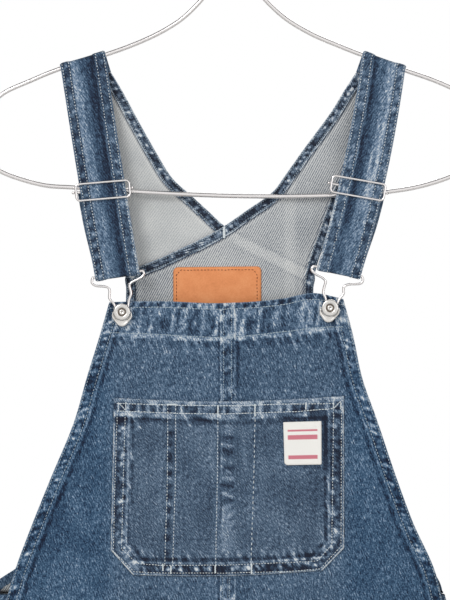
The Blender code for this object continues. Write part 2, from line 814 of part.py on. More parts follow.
def rectangle_grid(box, columns, rows, place):
    grid = []
    for row in range(rows):
        z = box["z"][1] + (box["z"][0] - box["z"][1]) * row / (rows - 1)
        line = []
        for column in range(columns):
            x = box["x"][0] + (box["x"][1] - box["x"][0]) * column / (columns - 1)
            line.append(place(x, z))
        grid.append(line)
    return np.array(grid)


def label():
    off = 2 * GAP + 0.2 + CLOTH + LABEL_CLOTH

    def place(x, z):
        return on_front(x, z, off + pocket_slack(x, z))

    grid = rectangle_grid(LABEL_BOX, 5, 5, place)
    wall("pocket_label", grid, np.full(grid.shape[:2], LABEL_CLOTH), "label_cloth", (0, -1, 0), (2, 2))


def patch():
    """Leather patch on the inner yoke's inside; its upper corners are cut."""
    off = YOKE_SPACING + CLOTH + GAP + PATCH_LEATHER

    def place(x, z):
        side = LEFT if x < CENTRE_X else RIGHT
        return (x, back_face(side, x, z) - off, z)

    grid = rectangle_grid(PATCH_BOX, 6, 5, place)
    grid[0, 0, 2] -= PATCH_CORNER
    grid[0, -1, 2] -= PATCH_CORNER
    wall("leather_patch", grid, np.full(grid.shape[:2], PATCH_LEATHER), "leather", (0, -1, 0), (2, 2))


def tilted(side, points):
    """Slider points, turned and put at the slider's place."""
    place = SLIDER[side]
    turn = math.radians(place["tilt"])
    made = []
    for x, y, z in points:
        made.append((place["x"] + x * math.cos(turn) - z * math.sin(turn), y,
                     place["z"] + x * math.sin(turn) + z * math.cos(turn)))
    return made


def slider(side):
    """A wire frame over the strap, and the bar behind it that the strap's end is sewn round."""
    half = SLIDER_WIDTH / 2
    tall = SLIDER_HEIGHT / 2
    route = []
    for quarter, (sign_x, sign_z) in enumerate(((1, 1), (-1, 1), (-1, -1), (1, -1))):
        for step in range(4):
            angle = math.pi / 2 * (quarter + step / 3)
            route.append((sign_x * (half - SLIDER_CORNER) + SLIDER_CORNER * math.cos(angle), SLIDER_Y,
                          sign_z * (tall - SLIDER_CORNER) + SLIDER_CORNER * math.sin(angle)))
    wire("slider_frame_" + side_name(side), tilted(side, route), SLIDER_WIRE, 6, "chrome", True)
    bar_y = SLIDER_Y + SLIDER_WIRE + 2 * GAP + STRAP_CLOTH + BAR_WIRE
    end = half + SLIDER_WIRE + BAR_WIRE + GAP
    route = [(-end, SLIDER_Y - 0.6, 0), (-end, SLIDER_Y + 1.6, 0), (-end + 0.5, bar_y - 0.9, 0),
             (-end + 1.8, bar_y, 0), (0, bar_y, 0), (end - 1.8, bar_y, 0), (end - 0.5, bar_y - 0.9, 0),
             (end, SLIDER_Y + 1.6, 0), (end, SLIDER_Y - 0.6, 0)]
    wire("slider_bar_" + side_name(side), tilted(side, route), BAR_WIRE, 6, "chrome", False,
         across=(0, 0, 1))


def buckle(side):
    """The wire buckle and the plate that holds it behind the button."""
    name = side_name(side)
    x, z = BUTTON[side]
    points = [(x + row[name + "_x"], BUCKLE_Y, z + row[name + "_z"]) for row in BUCKLE_ROUTE]
    wire("buckle_wire_" + name, smooth_route(points, 2, True), BUCKLE_WIRE, 6, "chrome", True)
    right_half = [(row["x"], row["z"]) for row in PLATE_OUTLINE]
    left_half = [(-wide, tall) for wide, tall in right_half[-2:0:-1]]
    outer = [(x + wide, z + tall) for wide, tall in right_half + left_half]
    hole = []
    for step in range(len(outer)):
        angle = math.pi / 2 - 2 * math.pi * step / len(outer)
        hole.append((x + (SHANK + 2 * GAP) * math.cos(angle), z + (SHANK + 2 * GAP) * math.sin(angle)))
    plate_y = BUCKLE_Y - BUCKLE_WIRE - GAP - PLATE
    ring_plate("buckle_plate_" + name, outer, hole, plate_y, PLATE, "button_metal")


def button(name, x, y, z, shank):
    """A tack button: ringed cap in front of its shank; y is the cloth's face."""
    cap = shank + GAP
    profile = [(0, cap + 3.3), (2.2, cap + 3.3), (2.9, cap + 3.8), (6.0, cap + 3.4),
               (BUTTON_RADIUS, cap + 1.8), (BUTTON_RADIUS - 0.3, cap + 0.6), (SHANK, cap),
               (SHANK, GAP), (0, GAP)]
    turned(name, (x, y, z), profile, 12, "button_metal")


def bib_button(side):
    x, z = BUTTON[side]
    face = front_face(side, x, z)
    cap_back = BUCKLE_Y - BUCKLE_WIRE - GAP - PLATE
    button("bib_button_" + side_name(side), x, face, z, face - cap_back)


def side_buttons(side):
    for number, z in enumerate(SIDE_BUTTON_ROWS):
        x = CENTRE_X + side * (read(FRONT_EDGE, side_name(side), z) - SIDE_BUTTON_INSET)
        name = "side_button_%s_%d" % (side_name(side), number + 1)
        button(name, x, front_face(side, x, z) - 0.5, z, 1.0)


def hanger():
    points = [(row["x"], 0, row["z"]) for row in HANGER_ROUTE]
    wire("hanger_frame", smooth_route(points, 2, True), HANGER_WIRE, 6, "chrome", True)
    circle = HOOK_OPENING + HANGER_WIRE
    centre_z = -HOOK_OPENING
    route = [(0, 0, HOOK_NECK_END), (0, 0, (HOOK_NECK_END + HOOK_NECK_TOP) / 2), (0, 0, HOOK_NECK_TOP)]
    route += [(1.6, 0, HOOK_NECK_TOP + 8), (6.5, 0, HOOK_NECK_TOP + 15), (12.5, 0, HOOK_NECK_TOP + 20)]
    for step in range(14):
        angle = math.radians(-42 + step * 250 / 13)
        route.append((circle * math.cos(angle), 0, centre_z + circle * math.sin(angle)))
    wire("hanger_hook", route, HANGER_WIRE, 6, "chrome", False)
    sleeve = []
    bore = []
    for step in range(10):
        angle = 2 * math.pi * step / 10
        sleeve.append((3.6 * math.cos(angle), 3.6 * math.sin(angle)))
        bore.append(((HANGER_WIRE + GAP) * math.cos(angle), (HANGER_WIRE + GAP) * math.sin(angle)))
    ring_plate("hanger_collar", sleeve, bore, HOOK_NECK_END + 0.5, COLLAR_HEIGHT, "chrome", upright=True)


def build():
    for thing in list(bpy.data.objects):
        bpy.data.objects.remove(thing)
    hanger()
    for side in (LEFT, RIGHT):
        front_piece(side)
        back_piece(side)
        strap(side)
        slider(side)
        buckle(side)
        bib_button(side)
        side_buttons(side)
    yoke("yoke_inner", RIGHT, INNER_YOKE, YOKE_SPACING)
    yoke("yoke_outer", LEFT, OUTER_YOKE, 0.0)
    pocket()
    label()
    patch()


build()
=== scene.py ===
# Looks of the denim bib overalls: cloth with its weave, wear, creases and stitches, metal, leather,
# label and a plain studio. Sizes are in millimetres in the CAD's frame; meshes are made in metres.

import math
import bmesh
import bpy
import numpy as np
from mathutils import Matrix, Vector
from mathutils.bvhtree import BVHTree


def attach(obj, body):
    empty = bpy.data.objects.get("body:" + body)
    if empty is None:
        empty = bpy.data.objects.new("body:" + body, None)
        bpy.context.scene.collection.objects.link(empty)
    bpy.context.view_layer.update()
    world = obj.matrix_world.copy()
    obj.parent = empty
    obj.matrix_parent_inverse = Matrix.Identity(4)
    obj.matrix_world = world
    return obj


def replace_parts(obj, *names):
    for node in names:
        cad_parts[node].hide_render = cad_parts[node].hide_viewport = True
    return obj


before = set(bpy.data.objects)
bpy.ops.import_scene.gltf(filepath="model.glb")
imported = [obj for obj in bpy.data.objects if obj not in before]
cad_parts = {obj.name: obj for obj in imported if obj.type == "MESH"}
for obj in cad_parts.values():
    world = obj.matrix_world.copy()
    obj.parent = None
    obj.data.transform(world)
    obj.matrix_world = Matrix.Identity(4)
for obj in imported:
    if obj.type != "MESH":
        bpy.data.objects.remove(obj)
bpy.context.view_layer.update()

mm = 0.001
left = -1
right = 1
sideNames = {left: "left", right: "right"}


def table(columns, *rows):
    names = columns.split()
    return [dict(zip(names, row)) for row in rows]


# A smooth function through one column of a table, over its key column.
def reader(rows, column, key="z"):
    ordered = sorted(rows, key=lambda row: row[key])
    places = np.array([float(row[key]) for row in ordered])
    values = np.array([float(row[column]) for row in ordered])
    slopes = np.gradient(values, places)

    def value(where):
        held = np.clip(where, places[0], places[-1])
        index = np.clip(np.searchsorted(places, held) - 1, 0, len(places) - 2)
        run = places[index + 1] - places[index]
        t = (held - places[index]) / run
        start = values[index] * (2 * t ** 3 - 3 * t ** 2 + 1)
        start = start + slopes[index] * run * (t ** 3 - 2 * t ** 2 + t)
        end = values[index + 1] * (3 * t ** 2 - 2 * t ** 3)
        return start + end + slopes[index + 1] * run * (t ** 3 - t ** 2)

    return value


def ease(value, low, high):
    t = np.clip((value - low) / (high - low), 0.0, 1.0)
    return t * t * (3 - 2 * t)


# The garment's form, as in the CAD source

centreX = -4.5
gap = 0.3
cloth = 1.4
hem = 2.8
hemWidth = 10.4
hemRows = (1.6, 9.0)
legHem = 13.5
legHemEnd = 15.0
waist = -600.1
seamBand = 6.5
seamRise = 0.9
bibTop = -397.0
openingEnd = -812.0
openingTop = -656.0
frontMeetsSide = -830.0
crotch = -970.0
crotchCurve = 85.0
legEnd = -1680.0
sectionPower = 0.35
underlap = 24.0

frontEdge = table(
    "z left right",
    (-397, 104.7, 102.0),
    (-428, 113.5, 110.5),
    (-466, 125.0, 119.0),
    (-500, 134.6, 131.0),
    (-556, 157.5, 150.0),
    (-591, 171.6, 163.0),
    (-638, 189.0, 184.0),
    (-660, 195.4, 189.6),
    (-700, 209.0, 200.0),
    (-740, 221.0, 214.0),
    (-790, 236.0, 231.0),
    (-830, 250.0, 248.0),
)
sideFold = table(
    "z left right",
    (-397, 140.0, 138.0),
    (-500, 172.0, 168.0),
    (-600, 205.0, 187.0),
    (-640, 216.0, 190.5),
    (-660, 221.0, 192.5),
    (-700, 231.0, 206.0),
    (-740, 238.0, 221.0),
    (-790, 246.0, 238.0),
    (-830, 250.0, 248.0),
    (-880, 254.0, 254.0),
    (-930, 256.0, 256.0),
    (-1000, 254.0, 254.0),
    (-1100, 249.0, 249.0),
    (-1300, 240.0, 240.0),
    (-1500, 234.0, 234.0),
    (-1680, 230.0, 230.0),
)
inseam = table(
    "z width",
    (-970, 0.15),
    (-985, 1.5),
    (-1020, 5.0),
    (-1100, 10.0),
    (-1300, 17.0),
    (-1680, 24.0),
)
depthRows = table(
    "z front back",
    (-200, -12.0, 4.1),
    (-240, -12.0, 7.0),
    (-290, -12.2, 9.0),
    (-397, -12.5, 9.5),
    (-500, -14.5, 13.0),
    (-600, -18.0, 17.0),
    (-660, -20.0, 20.0),
    (-740, -23.0, 23.0),
    (-830, -26.0, 27.0),
    (-930, -27.0, 30.0),
    (-1000, -26.0, 28.0),
    (-1100, -24.0, 25.0),
    (-1300, -22.0, 22.0),
    (-1680, -20.0, 20.0),
)
bibTopLine = table(
    "x z",
    (-109, -397.8),
    (-73, -396.9),
    (-6, -398.6),
    (45, -394.5),
    (70, -389.8),
    (98, -395.1),
)
wingEdge = table(
    "z left right",
    (-600, 155.5, 154.5),
    (-620, 172.5, 170.0),
    (-634, 188.0, 180.5),
    (-642, 200.5, 186.0),
    (-649, 211.0, 189.5),
    (-656, 219.0, 191.0),
)
innerYoke = table(
    "neckX neckZ armX armZ",
    (97.0, -213.0, 137.0, -224.0),
    (86.2, -230.6, 129.0, -239.0),
    (61.6, -264.0, 112.0, -268.0),
    (47.0, -284.5, 104.0, -286.0),
    (34.3, -301.0, 97.0, -302.0),
    (11.9, -316.8, 91.0, -319.0),
    (-7.0, -330.0, 86.0, -333.0),
    (-22.0, -338.8, 83.0, -342.0),
    (-60.0, -357.0, 76.5, -359.0),
    (-92.5, -372.0, 72.5, -374.0),
    (-94.6, -388.0, 71.3, -388.0),
    (-95.0, -415.0, 72.3, -415.0),
    (-98.0, -455.0, 79.5, -455.0),
    (-110.0, -500.0, 94.0, -500.0),
    (-133.0, -553.0, 121.0, -553.0),
    (-160.0, -599.8, 150.0, -599.8),
)
outerYoke = table(
    "neckX neckZ armX armZ",
    (-97.0, -212.5, -138.0, -223.0),
    (-84.0, -236.7, -127.5, -243.0),
    (-68.6, -264.0, -115.0, -268.0),
    (-54.0, -287.5, -108.0, -290.0),
    (-37.0, -303.2, -104.0, -306.0),
    (-22.0, -317.0, -101.0, -319.5),
    (-7.9, -330.0, -99.0, -332.0),
    (7.0, -339.7, -97.5, -342.0),
    (41.4, -355.5, -95.7, -358.0),
    (70.5, -371.0, -94.8, -374.0),
    (71.3, -388.0, -94.6, -388.0),
    (72.3, -415.0, -95.0, -415.0),
    (79.5, -455.0, -98.0, -455.0),
    (94.0, -500.0, -110.0, -500.0),
    (121.0, -553.0, -133.0, -553.0),
    (150.0, -599.8, -160.0, -599.8),
)
yokeSpacing = hem + gap
towardsFront = (0, -1, 0)
towardsBack = (0, 1, 0)

# Soft folds of the hanging cloth
frontFolds = table(
    "x top bottom width rise",
    (-150, -880, -1500, 34, 5.0),
    (-85, -980, -1640, 26, -4.5),
    (-190, -760, -1250, 22, -3.5),
    (70, -1000, -1600, 30, 4.5),
    (140, -860, -1450, 28, -4.5),
    (195, -780, -1300, 24, 3.5),
)
backFolds = table(
    "x top bottom width rise",
    (-160, -820, -1400, 32, -4.5),
    (-95, -1000, -1600, 28, 4.5),
    (-60, -700, -930, 24, 3.0),
    (50, -720, -940, 26, -3.0),
    (110, -960, -1580, 30, 4.5),
    (180, -800, -1350, 26, -4.0),
)

frontEdgeAt = {side: reader(frontEdge, sideNames[side]) for side in (left, right)}
foldAt = {side: reader(sideFold, sideNames[side]) for side in (left, right)}
wingAt = {side: reader(wingEdge, sideNames[side]) for side in (left, right)}
inseamAt = reader(inseam, "width")
frontDepthAt = reader(depthRows, "front")
backDepthAt = reader(depthRows, "back")
bibTopAt = reader(bibTopLine, "z", "x")


def aboveCrotch(z):
    return ease(z, crotch + 20, crotch + 90)


def folds(rows, x, z):
    total = 0.0
    for fold in rows:
        along = ease(z, fold["top"], fold["top"] - 120) * ease(z, fold["bottom"], fold["bottom"] + 160)
        total += fold["rise"] * along * np.exp(-((x - fold["x"]) / fold["width"]) ** 2)
    return total


def section(side, x, z):
    fold = foldAt[side](z)
    width = (x - centreX) * side
    body = np.maximum(1 - (width / fold) ** 2, 0.0) ** sectionPower
    inner = inseamAt(z)
    leg = np.maximum(1 - ((width - (fold + inner) / 2) / ((fold - inner) / 2)) ** 2, 0.0) ** sectionPower
    blend = ease(z, crotch + crotchCurve, crotch)
    return body * (1 - blend) + leg * blend


def innerEdge(z):
    return np.where(z < crotch, inseamAt(z), gap / 2)


def frontFace(side, x, z):
    full = section(side, x, z)
    return frontDepthAt(z) * full - folds(frontFolds, x, z) * full - gap / 2


def backFace(side, x, z):
    full = 1 - ease(z, -500, -650) * (1 - section(side, x, z))
    return backDepthAt(z) * full + folds(backFolds, x, z) * full + gap / 2


# A face function over both sides of the centre.
def bySide(face, x, z):
    return np.where(x < centreX, face(left, np.minimum(x, centreX), z),
                    face(right, np.maximum(x, centreX), z))


def bibShift(x, z):
    return (bibTopAt(x) - bibTop) * ease(z, bibTop - 70, bibTop)


# Even places from start to end about a step apart.
def spread(start, end, step):
    count = max(int(round(abs(end - start) / step)), 1)
    return np.linspace(start, end, count + 1)


# Unevenness: trains of bumps along a line, mottling, and listed lines of creases and painted shadow

# A row of uneven bumps from 0 to 1 along a line, as puckers between stitches are.
def train(seed, start, end, pitch, unevenness=0.3, width=0.28):
    dice = np.random.default_rng(seed)
    grid = np.arange(start, end, 0.25)
    profile = np.zeros_like(grid)
    place = start
    while place < end:
        strength = dice.uniform(0.35, 1.0)
        reach = pitch * width * dice.uniform(0.7, 1.4)
        profile += strength * np.exp(-((grid - place) / reach) ** 2)
        place += pitch * (1 + unevenness * dice.uniform(-1, 1))
    return lambda where: np.interp(where, grid, np.minimum(profile, 1.2))


# Soft random patches from -1 to 1, about a size across.
def mottle(u, v, size, seed):
    lattice = np.random.default_rng(seed).uniform(-1, 1, (256, 256))
    a = np.asarray(u) / size
    b = np.asarray(v) / size
    i = np.floor(a).astype(int)
    j = np.floor(b).astype(int)
    s = a - i
    t = b - j
    s = s * s * (3 - 2 * s)
    t = t * t * (3 - 2 * t)
    near = lattice[i % 256, j % 256] * (1 - s) + lattice[(i + 1) % 256, j % 256] * s
    far = lattice[i % 256, (j + 1) % 256] * (1 - s) + lattice[(i + 1) % 256, (j + 1) % 256] * s
    return near * (1 - t) + far * t


def bump(value, centre, reach):
    return np.exp(-((value - centre) / reach) ** 2)


# 1 between low and high, falling to 0 over soft on both sides.
def band(value, low, high, soft):
    return ease(value, low - soft, low) * ease(value, high + soft, high)


# Creases and painted shadow lines, each with a width and a strength, faded at both ends.
def creaseAndShadowLines(rows, x, z):
    total = np.zeros(np.broadcast(x, z).shape)
    for row in rows:
        run = np.array([row["x2"] - row["x1"], row["z2"] - row["z1"]])
        length = np.linalg.norm(run)
        run = run / length
        along = ((x - row["x1"]) * run[0] + (z - row["z1"]) * run[1]) / length
        across = (x - row["x1"]) * run[1] - (z - row["z1"]) * run[0]
        total += row["rise"] * np.exp(-(across / row["width"]) ** 2) * band(along, 0.15, 0.85, 0.3)
    return total


# The photograph's columns and rows in the frame
pixel = 0.88
pixelOrigin = (233.0, -150.0)


def pixelX(px):
    return (px - pixelOrigin[0]) * pixel


def pixelZ(py):
    return (pixelOrigin[1] - py) * pixel


print("form ready")


# Materials

# An sRGB hex colour as linear RGBA.
def tone(code):
    parts = [int(code[i:i + 2], 16) / 255 for i in (1, 3, 5)]
    linear = [p / 12.92 if p <= 0.04045 else ((p + 0.055) / 1.055) ** 2.4 for p in parts]
    return (*linear, 1.0)


# Adds a node; inputs are values or sockets, and in0, in1 name sockets by number.
def add(tree, kind, settings=None, **inputs):
    node = tree.nodes.new(kind)
    for name, value in (settings or {}).items():
        setattr(node, name, value)
    for name, value in inputs.items():
        numbered = name[:2] == "in" and name[2:].isdigit()
        socket = node.inputs[int(name[2:])] if numbered else node.inputs[name.replace("_", " ")]
        if isinstance(value, bpy.types.NodeSocket):
            tree.links.new(value, socket)
        else:
            socket.default_value = value
    return node


def newMaterial(name):
    made = bpy.data.materials.new(name)
    made.use_nodes = True
    return made, made.node_tree, made.node_tree.nodes["Principled BSDF"]


def mathNode(tree, operation, first, second=0.5, third=0.5):
    node = add(tree, "ShaderNodeMath", {"operation": operation}, in0=first, in1=second, in2=third)
    return node.outputs[0]


def attributeValue(tree, name):
    return add(tree, "ShaderNodeAttribute", {"attribute_name": name}).outputs["Fac"]


def clothMap(tree):
    return add(tree, "ShaderNodeUVMap", {"uv_map": "cloth"}).outputs["UV"]


def objectPlace(tree):
    return add(tree, "ShaderNodeTexCoord").outputs["Object"]


# Noise whose patches are about size millimetres (across, along).
def scaledNoise(tree, vector, size, detail=2.0):
    scale = (1000 / size[0], 1000 / size[1], 1000 / size[0])
    mapped = add(tree, "ShaderNodeMapping", Vector=vector, Scale=scale)
    noise = add(tree, "ShaderNodeTexNoise", Vector=mapped.outputs[0], Scale=1.0, Detail=detail)
    return mathNode(tree, "SUBTRACT", noise.outputs["Fac"], 0.5)


# Sine lines at pitch millimetres; lean is the slope of the lines' normal.
def diagonalLines(tree, vector, pitch, lean):
    turn = 2 * math.pi / (pitch * mm) / math.hypot(1, lean)
    along = add(tree, "ShaderNodeVectorMath", {"operation": "DOT_PRODUCT"}, in0=vector,
                in1=(turn, turn * lean, 0)).outputs["Value"]
    return mathNode(tree, "SINE", along)


def ramp(tree, value, stops):
    node = add(tree, "ShaderNodeValToRGB", in0=value)
    elements = node.color_ramp.elements
    while len(elements) < len(stops):
        elements.new(0.5)
    for element, (place, code) in zip(elements, stops):
        element.position = place
        element.color = tone(code)
    return node.outputs["Color"]


# Start plus each pattern times its share
def blended(tree, start, *shares):
    total = start
    for pattern, share in shares:
        total = mathNode(tree, "ADD", total, mathNode(tree, "MULTIPLY", pattern, share))
    return total


# Colour and finish; relief is a height with its strength and its distance in metres
def surface(tree, shader, colour, roughness, specular=0.5, relief=None):
    tree.links.new(colour, shader.inputs["Base Color"])
    shader.inputs["Roughness"].default_value = roughness
    shader.inputs["Specular IOR Level"].default_value = specular
    if relief:
        height, strength, distance = relief
        raised = add(tree, "ShaderNodeBump", Height=height, Strength=strength, Distance=distance)
        tree.links.new(raised.outputs["Normal"], shader.inputs["Normal"])


indigoTones = ((0.0, "#141c2e"), (0.18, "#223248"), (0.38, "#3a5068"), (0.52, "#50677e"),
               (0.68, "#7488a0"), (0.84, "#a3b0bd"), (1.0, "#cfd4d6"))
insideTones = ((0.0, "#4d5766"), (0.28, "#959aa0"), (0.5, "#bbbdbd"), (0.72, "#cecfce"), (1.0, "#e0e0dd"))
leatherTones = ((0.2, "#cd7941"), (0.5, "#e08d55"), (0.8, "#eaa06a"))
labelTones = ((0.0, "#b6435a"), (0.35, "#cf7d8a"), (0.55, "#e9ded9"), (0.8, "#eeede8"))


# Washed indigo twill: the eye gets pale warp threads over dark ones, rubbed paler on each ridge.
# The twill's own 0.7 mm lines are drawn at 2 mm, which is what the photograph resolves
def denimMaterial(name, contrast):
    made, tree, shader = newMaterial(name)
    uv = clothMap(tree)
    turned = add(tree, "ShaderNodeMapping", Vector=uv, Rotation=(0, 0, -0.34)).outputs[0]
    slub = scaledNoise(tree, turned, (1.05, 4.4))
    grain = scaledNoise(tree, uv, (1.15, 1.35))
    cloud = scaledNoise(tree, uv, (24, 40))
    twill = diagonalLines(tree, uv, 2.0, 0.55)
    fine = blended(tree, 0.0, (slub, 1.25 * contrast), (grain, 0.9 * contrast), (twill, 0.035))
    value = mathNode(tree, "ADD", attributeValue(tree, "shade"), blended(tree, fine, (cloud, 0.1)))
    saturation = mathNode(tree, "MULTIPLY_ADD", attributeValue(tree, "tint"), 0.5, 1.0)
    colour = ramp(tree, value, indigoTones)
    tinted = add(tree, "ShaderNodeHueSaturation", Saturation=saturation, Color=colour)
    surface(tree, shader, tinted.outputs["Color"], 0.88, 0.25, (fine, 0.5, 0.0004))
    shader.inputs["Sheen Weight"].default_value = 0.08
    shader.inputs["Sheen Roughness"].default_value = 0.5
    return made


# The twill's undyed inside: the eye gets pale grey with slanting lines, darker where it is deep
def insideMaterial():
    made, tree, shader = newMaterial("denim inside, undyed weft")
    uv = clothMap(tree)
    lines = diagonalLines(tree, uv, 1.8, -0.53)
    grain = scaledNoise(tree, uv, (1.3, 1.6))
    cloud = scaledNoise(tree, uv, (26, 44))
    value = blended(tree, attributeValue(tree, "shade"), (lines, 0.3), (grain, 0.7), (cloud, 0.16))
    surface(tree, shader, ramp(tree, value, insideTones), 0.9, 0.2, (lines, 0.35, 0.0003))
    return made


# Cotton thread: the eye gets a matte, slightly uneven pale cotton
def threadMaterial(name, code, other):
    made, tree, shader = newMaterial(name)
    grain = mathNode(tree, "ADD", scaledNoise(tree, objectPlace(tree), (0.9, 0.9)), 0.5)
    surface(tree, shader, ramp(tree, grain, ((0.25, other), (0.6, code))), 0.7, 0.3)
    return made


# Tan vegetable leather: the eye gets a satin skin with fine grain and a little soiling
def leatherMaterial():
    made, tree, shader = newMaterial("tan leather")
    place = objectPlace(tree)
    cells = add(tree, "ShaderNodeTexVoronoi", {"feature": "SMOOTH_F1"}, Vector=place, Scale=620.0)
    blotch = scaledNoise(tree, place, (9, 9), 4.0)
    fine = scaledNoise(tree, place, (1.4, 1.4))
    value = blended(tree, 0.5, (blotch, 0.5), (fine, 0.35))
    surface(tree, shader, ramp(tree, value, leatherTones), 0.55,
            relief=(cells.outputs["Distance"], 0.25, 0.0002))
    return made


# Woven label: off-white satin tape, its edge and three plain rules woven in red
def labelMaterial():
    made, tree, shader = newMaterial("woven label tape")
    uv = clothMap(tree)
    rib = diagonalLines(tree, uv, 0.9, 0.0)
    grain = scaledNoise(tree, uv, (1.0, 0.7))
    value = blended(tree, attributeValue(tree, "shade"), (rib, 0.02), (grain, 0.12))
    surface(tree, shader, ramp(tree, value, labelTones), 0.6, relief=(rib, 0.2, 0.0002))
    return made


# Plated metal: the eye gets soft reflections, a little duller in patches
def metalMaterial(name, code, roughness, spots):
    made, tree, shader = newMaterial(name)
    dull = scaledNoise(tree, objectPlace(tree), (spots, spots))
    tree.links.new(blended(tree, roughness, (dull, 0.12)), shader.inputs["Roughness"])
    shader.inputs["Base Color"].default_value = tone(code)
    shader.inputs["Metallic"].default_value = 1.0
    return made


denim = denimMaterial("washed indigo denim", 1.0)
strapDenim = denimMaterial("dark strap denim", 0.9)
twillInside = insideMaterial()
thread = threadMaterial("off-white cotton thread", "#e4e9ea", "#bccad2")
rubbedThread = threadMaterial("cotton thread taken up by the indigo", "#b3c1c9", "#92a4b1")
brownThread = threadMaterial("brown waxed thread", "#8a4a28", "#6d3618")
leather = leatherMaterial()
labelTape = labelMaterial()
chrome = metalMaterial("chromed wire", "#f2eeed", 0.14, 6)
buttonMetal = metalMaterial("pressed silver-coloured metal", "#dedbd7", 0.26, 2.5)
oxideAndUnderShade = metalMaterial("groove oxide and painted shade under a button cap", "#7d736a", 0.45, 2.5)
print("materials ready")


# Cloth shells

def gridNormals(grid, facing, probe):
    found = np.cross(np.gradient(grid, axis=0), np.gradient(grid, axis=1))
    found /= np.maximum(np.linalg.norm(found, axis=2, keepdims=True), 1e-9)
    return found if np.dot(found[probe], facing) > 0 else -found


# A new object in the scene
def placed(name, data):
    item = bpy.data.objects.new(name, data)
    bpy.context.scene.collection.objects.link(item)
    return item


# A mesh piece from millimetre points; it rides on the one body.
def finished(name, points, faces, materials):
    mesh = bpy.data.meshes.new(name)
    mesh.from_pydata((np.asarray(points) * mm).tolist(), [], faces)
    for material in materials:
        mesh.materials.append(material)
    mesh.shade_smooth()
    piece = placed(name, mesh)
    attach(piece, "root")
    return piece


def setValues(piece, name, values):
    attribute = piece.data.attributes.new(name, "FLOAT", "POINT")
    attribute.data.foreach_set("value", np.asarray(values, np.float32).ravel())


# The cloth's own map, in metres, from a millimetre place for each point.
def setUv(piece, places):
    layer = piece.data.uv_layers.new(name="cloth")
    corners = np.zeros(len(piece.data.loops), np.int32)
    piece.data.loops.foreach_get("vertex_index", corners)
    layer.data.foreach_set("uv", (np.asarray(places, np.float32)[corners] * mm).ravel())


# A closed cloth wall behind a grid of face points. look holds grids: height moves the face,
# shade and tint colour it, backHeight and backShade do the same inside, and blueInside marks
# the cells where a turned hem shows the dyed side.
def shell(name, face, depth, look, facing, probe, materials, uv, limit=None):
    rows, columns = face.shape[:2]
    out = gridNormals(face, facing, probe)
    front = face + out * look["height"][..., None]
    back = face - out * (np.zeros((rows, columns)) + depth + look.get("backHeight", 0.0))[..., None]
    if limit is not None:
        back = limit(back)
    index = np.arange(rows * columns).reshape(rows, columns)
    a = index[:-1, :-1].ravel()
    b = index[:-1, 1:].ravel()
    c = index[1:, 1:].ravel()
    d = index[1:, :-1].ravel()
    count = rows * columns
    row, column = probe
    turnsOut = np.cross(face[row + 1, column] - face[probe], face[row, column + 1] - face[probe])
    flipped = np.dot(turnsOut, out[probe]) < 0
    frontCells = np.stack([a, b, c, d] if flipped else [a, d, c, b], axis=1)
    backCells = frontCells[:, ::-1] + count
    rim = np.concatenate([index[0, :-1], index[:-1, -1], index[-1, :0:-1], index[:0:-1, 0]])
    after = np.roll(rim, -1)
    rimCells = np.stack([after, rim, rim + count, after + count], axis=1)
    if not flipped:
        rimCells = rimCells[:, ::-1]
    cells = np.concatenate([frontCells, backCells, rimCells])
    points = np.concatenate([front.reshape(-1, 3), back.reshape(-1, 3)])
    piece = finished(name, points, cells.tolist(), materials)
    for key, backKey in (("shade", "backShade"), ("tint", "backTint")):
        setValues(piece, key, np.concatenate([look[key].ravel(), look.get(backKey, look[key]).ravel()]))
    setUv(piece, np.concatenate([uv.reshape(-1, 2), uv.reshape(-1, 2)]))
    if len(materials) > 1:
        blue = look.get("blueInside", np.zeros((rows, columns), bool))
        inner = np.where(blue[:-1, :-1].ravel(), 0, 1)
        choice = np.concatenate([np.zeros(len(a), int), inner, np.zeros(len(rimCells), int)])
        piece.data.polygons.foreach_set("material_index", choice.astype(np.int32))
    print(name, rows, "x", columns, "cells", len(cells))
    return piece


# The points at one distance from an edge in each row of a grid, a little in front of it.
def rowPoints(face, away, row, facing, probe):
    way = 1 if away[0, 0] < away[0, -1] else -1
    front = face + gridNormals(face, facing, probe) * 1.5
    return np.array([[np.interp(row, away[i, ::way], front[i, ::way, k]) for k in range(3)]
                     for i in range(len(away))])


# Height and shade of a turned hem: uneven puckers between two stitch rows, a rubbed fold, a
# pale ridge where the hem ends and a dark trough beside it.
def hemLook(fromEdge, along, seed, width=hemWidth, pitch=8.4, contrast=1.0, rows=hemRows, lip=True):
    lean = 0.35
    puckers = train(seed, along.min() - 30, along.max() + 30, pitch)(along + lean * fromEdge)
    blotch = mottle(along, fromEdge, 2.6, seed)
    patches = mottle(along + 9, fromEdge, 5.0, seed + 2)
    slow = mottle(along, 0 * along, 38, seed + 1)
    inside = band(fromEdge, 1.2, width - 1.0, 1.0)
    middle = bump(fromEdge, (rows[0] + rows[1]) / 2, (rows[1] - rows[0]) * 0.42)
    worn = 0.64 * puckers * middle * (0.8 + 0.5 * blotch) - 0.22
    shade = inside * (worn + 0.15 * blotch + 0.12 * patches + 0.08 * slow) * contrast
    shade += 0.34 * bump(fromEdge, 0.4, 0.85)
    height = inside * (0.55 * puckers - 0.12)
    for row in rows:
        height -= 0.3 * bump(fromEdge, row, 0.75)
    if lip:
        broken = 0.45 + 0.9 * puckers + 0.3 * patches
        shade += (0.15 + 0.1 * slow) * broken * bump(fromEdge, width + 1.0, 0.9) * contrast
        shade -= (0.17 + 0.12 * patches) * band(fromEdge, width + 2.8, width + 4.6, 1.6) * contrast
        height += 0.3 * bump(fromEdge, width + 0.8, 1.0)
        height -= 0.35 * bump(fromEdge, width + 3.4, 1.8)
    height -= 0.8 * (1 - ease(fromEdge, -0.1, 1.2))
    return height, shade


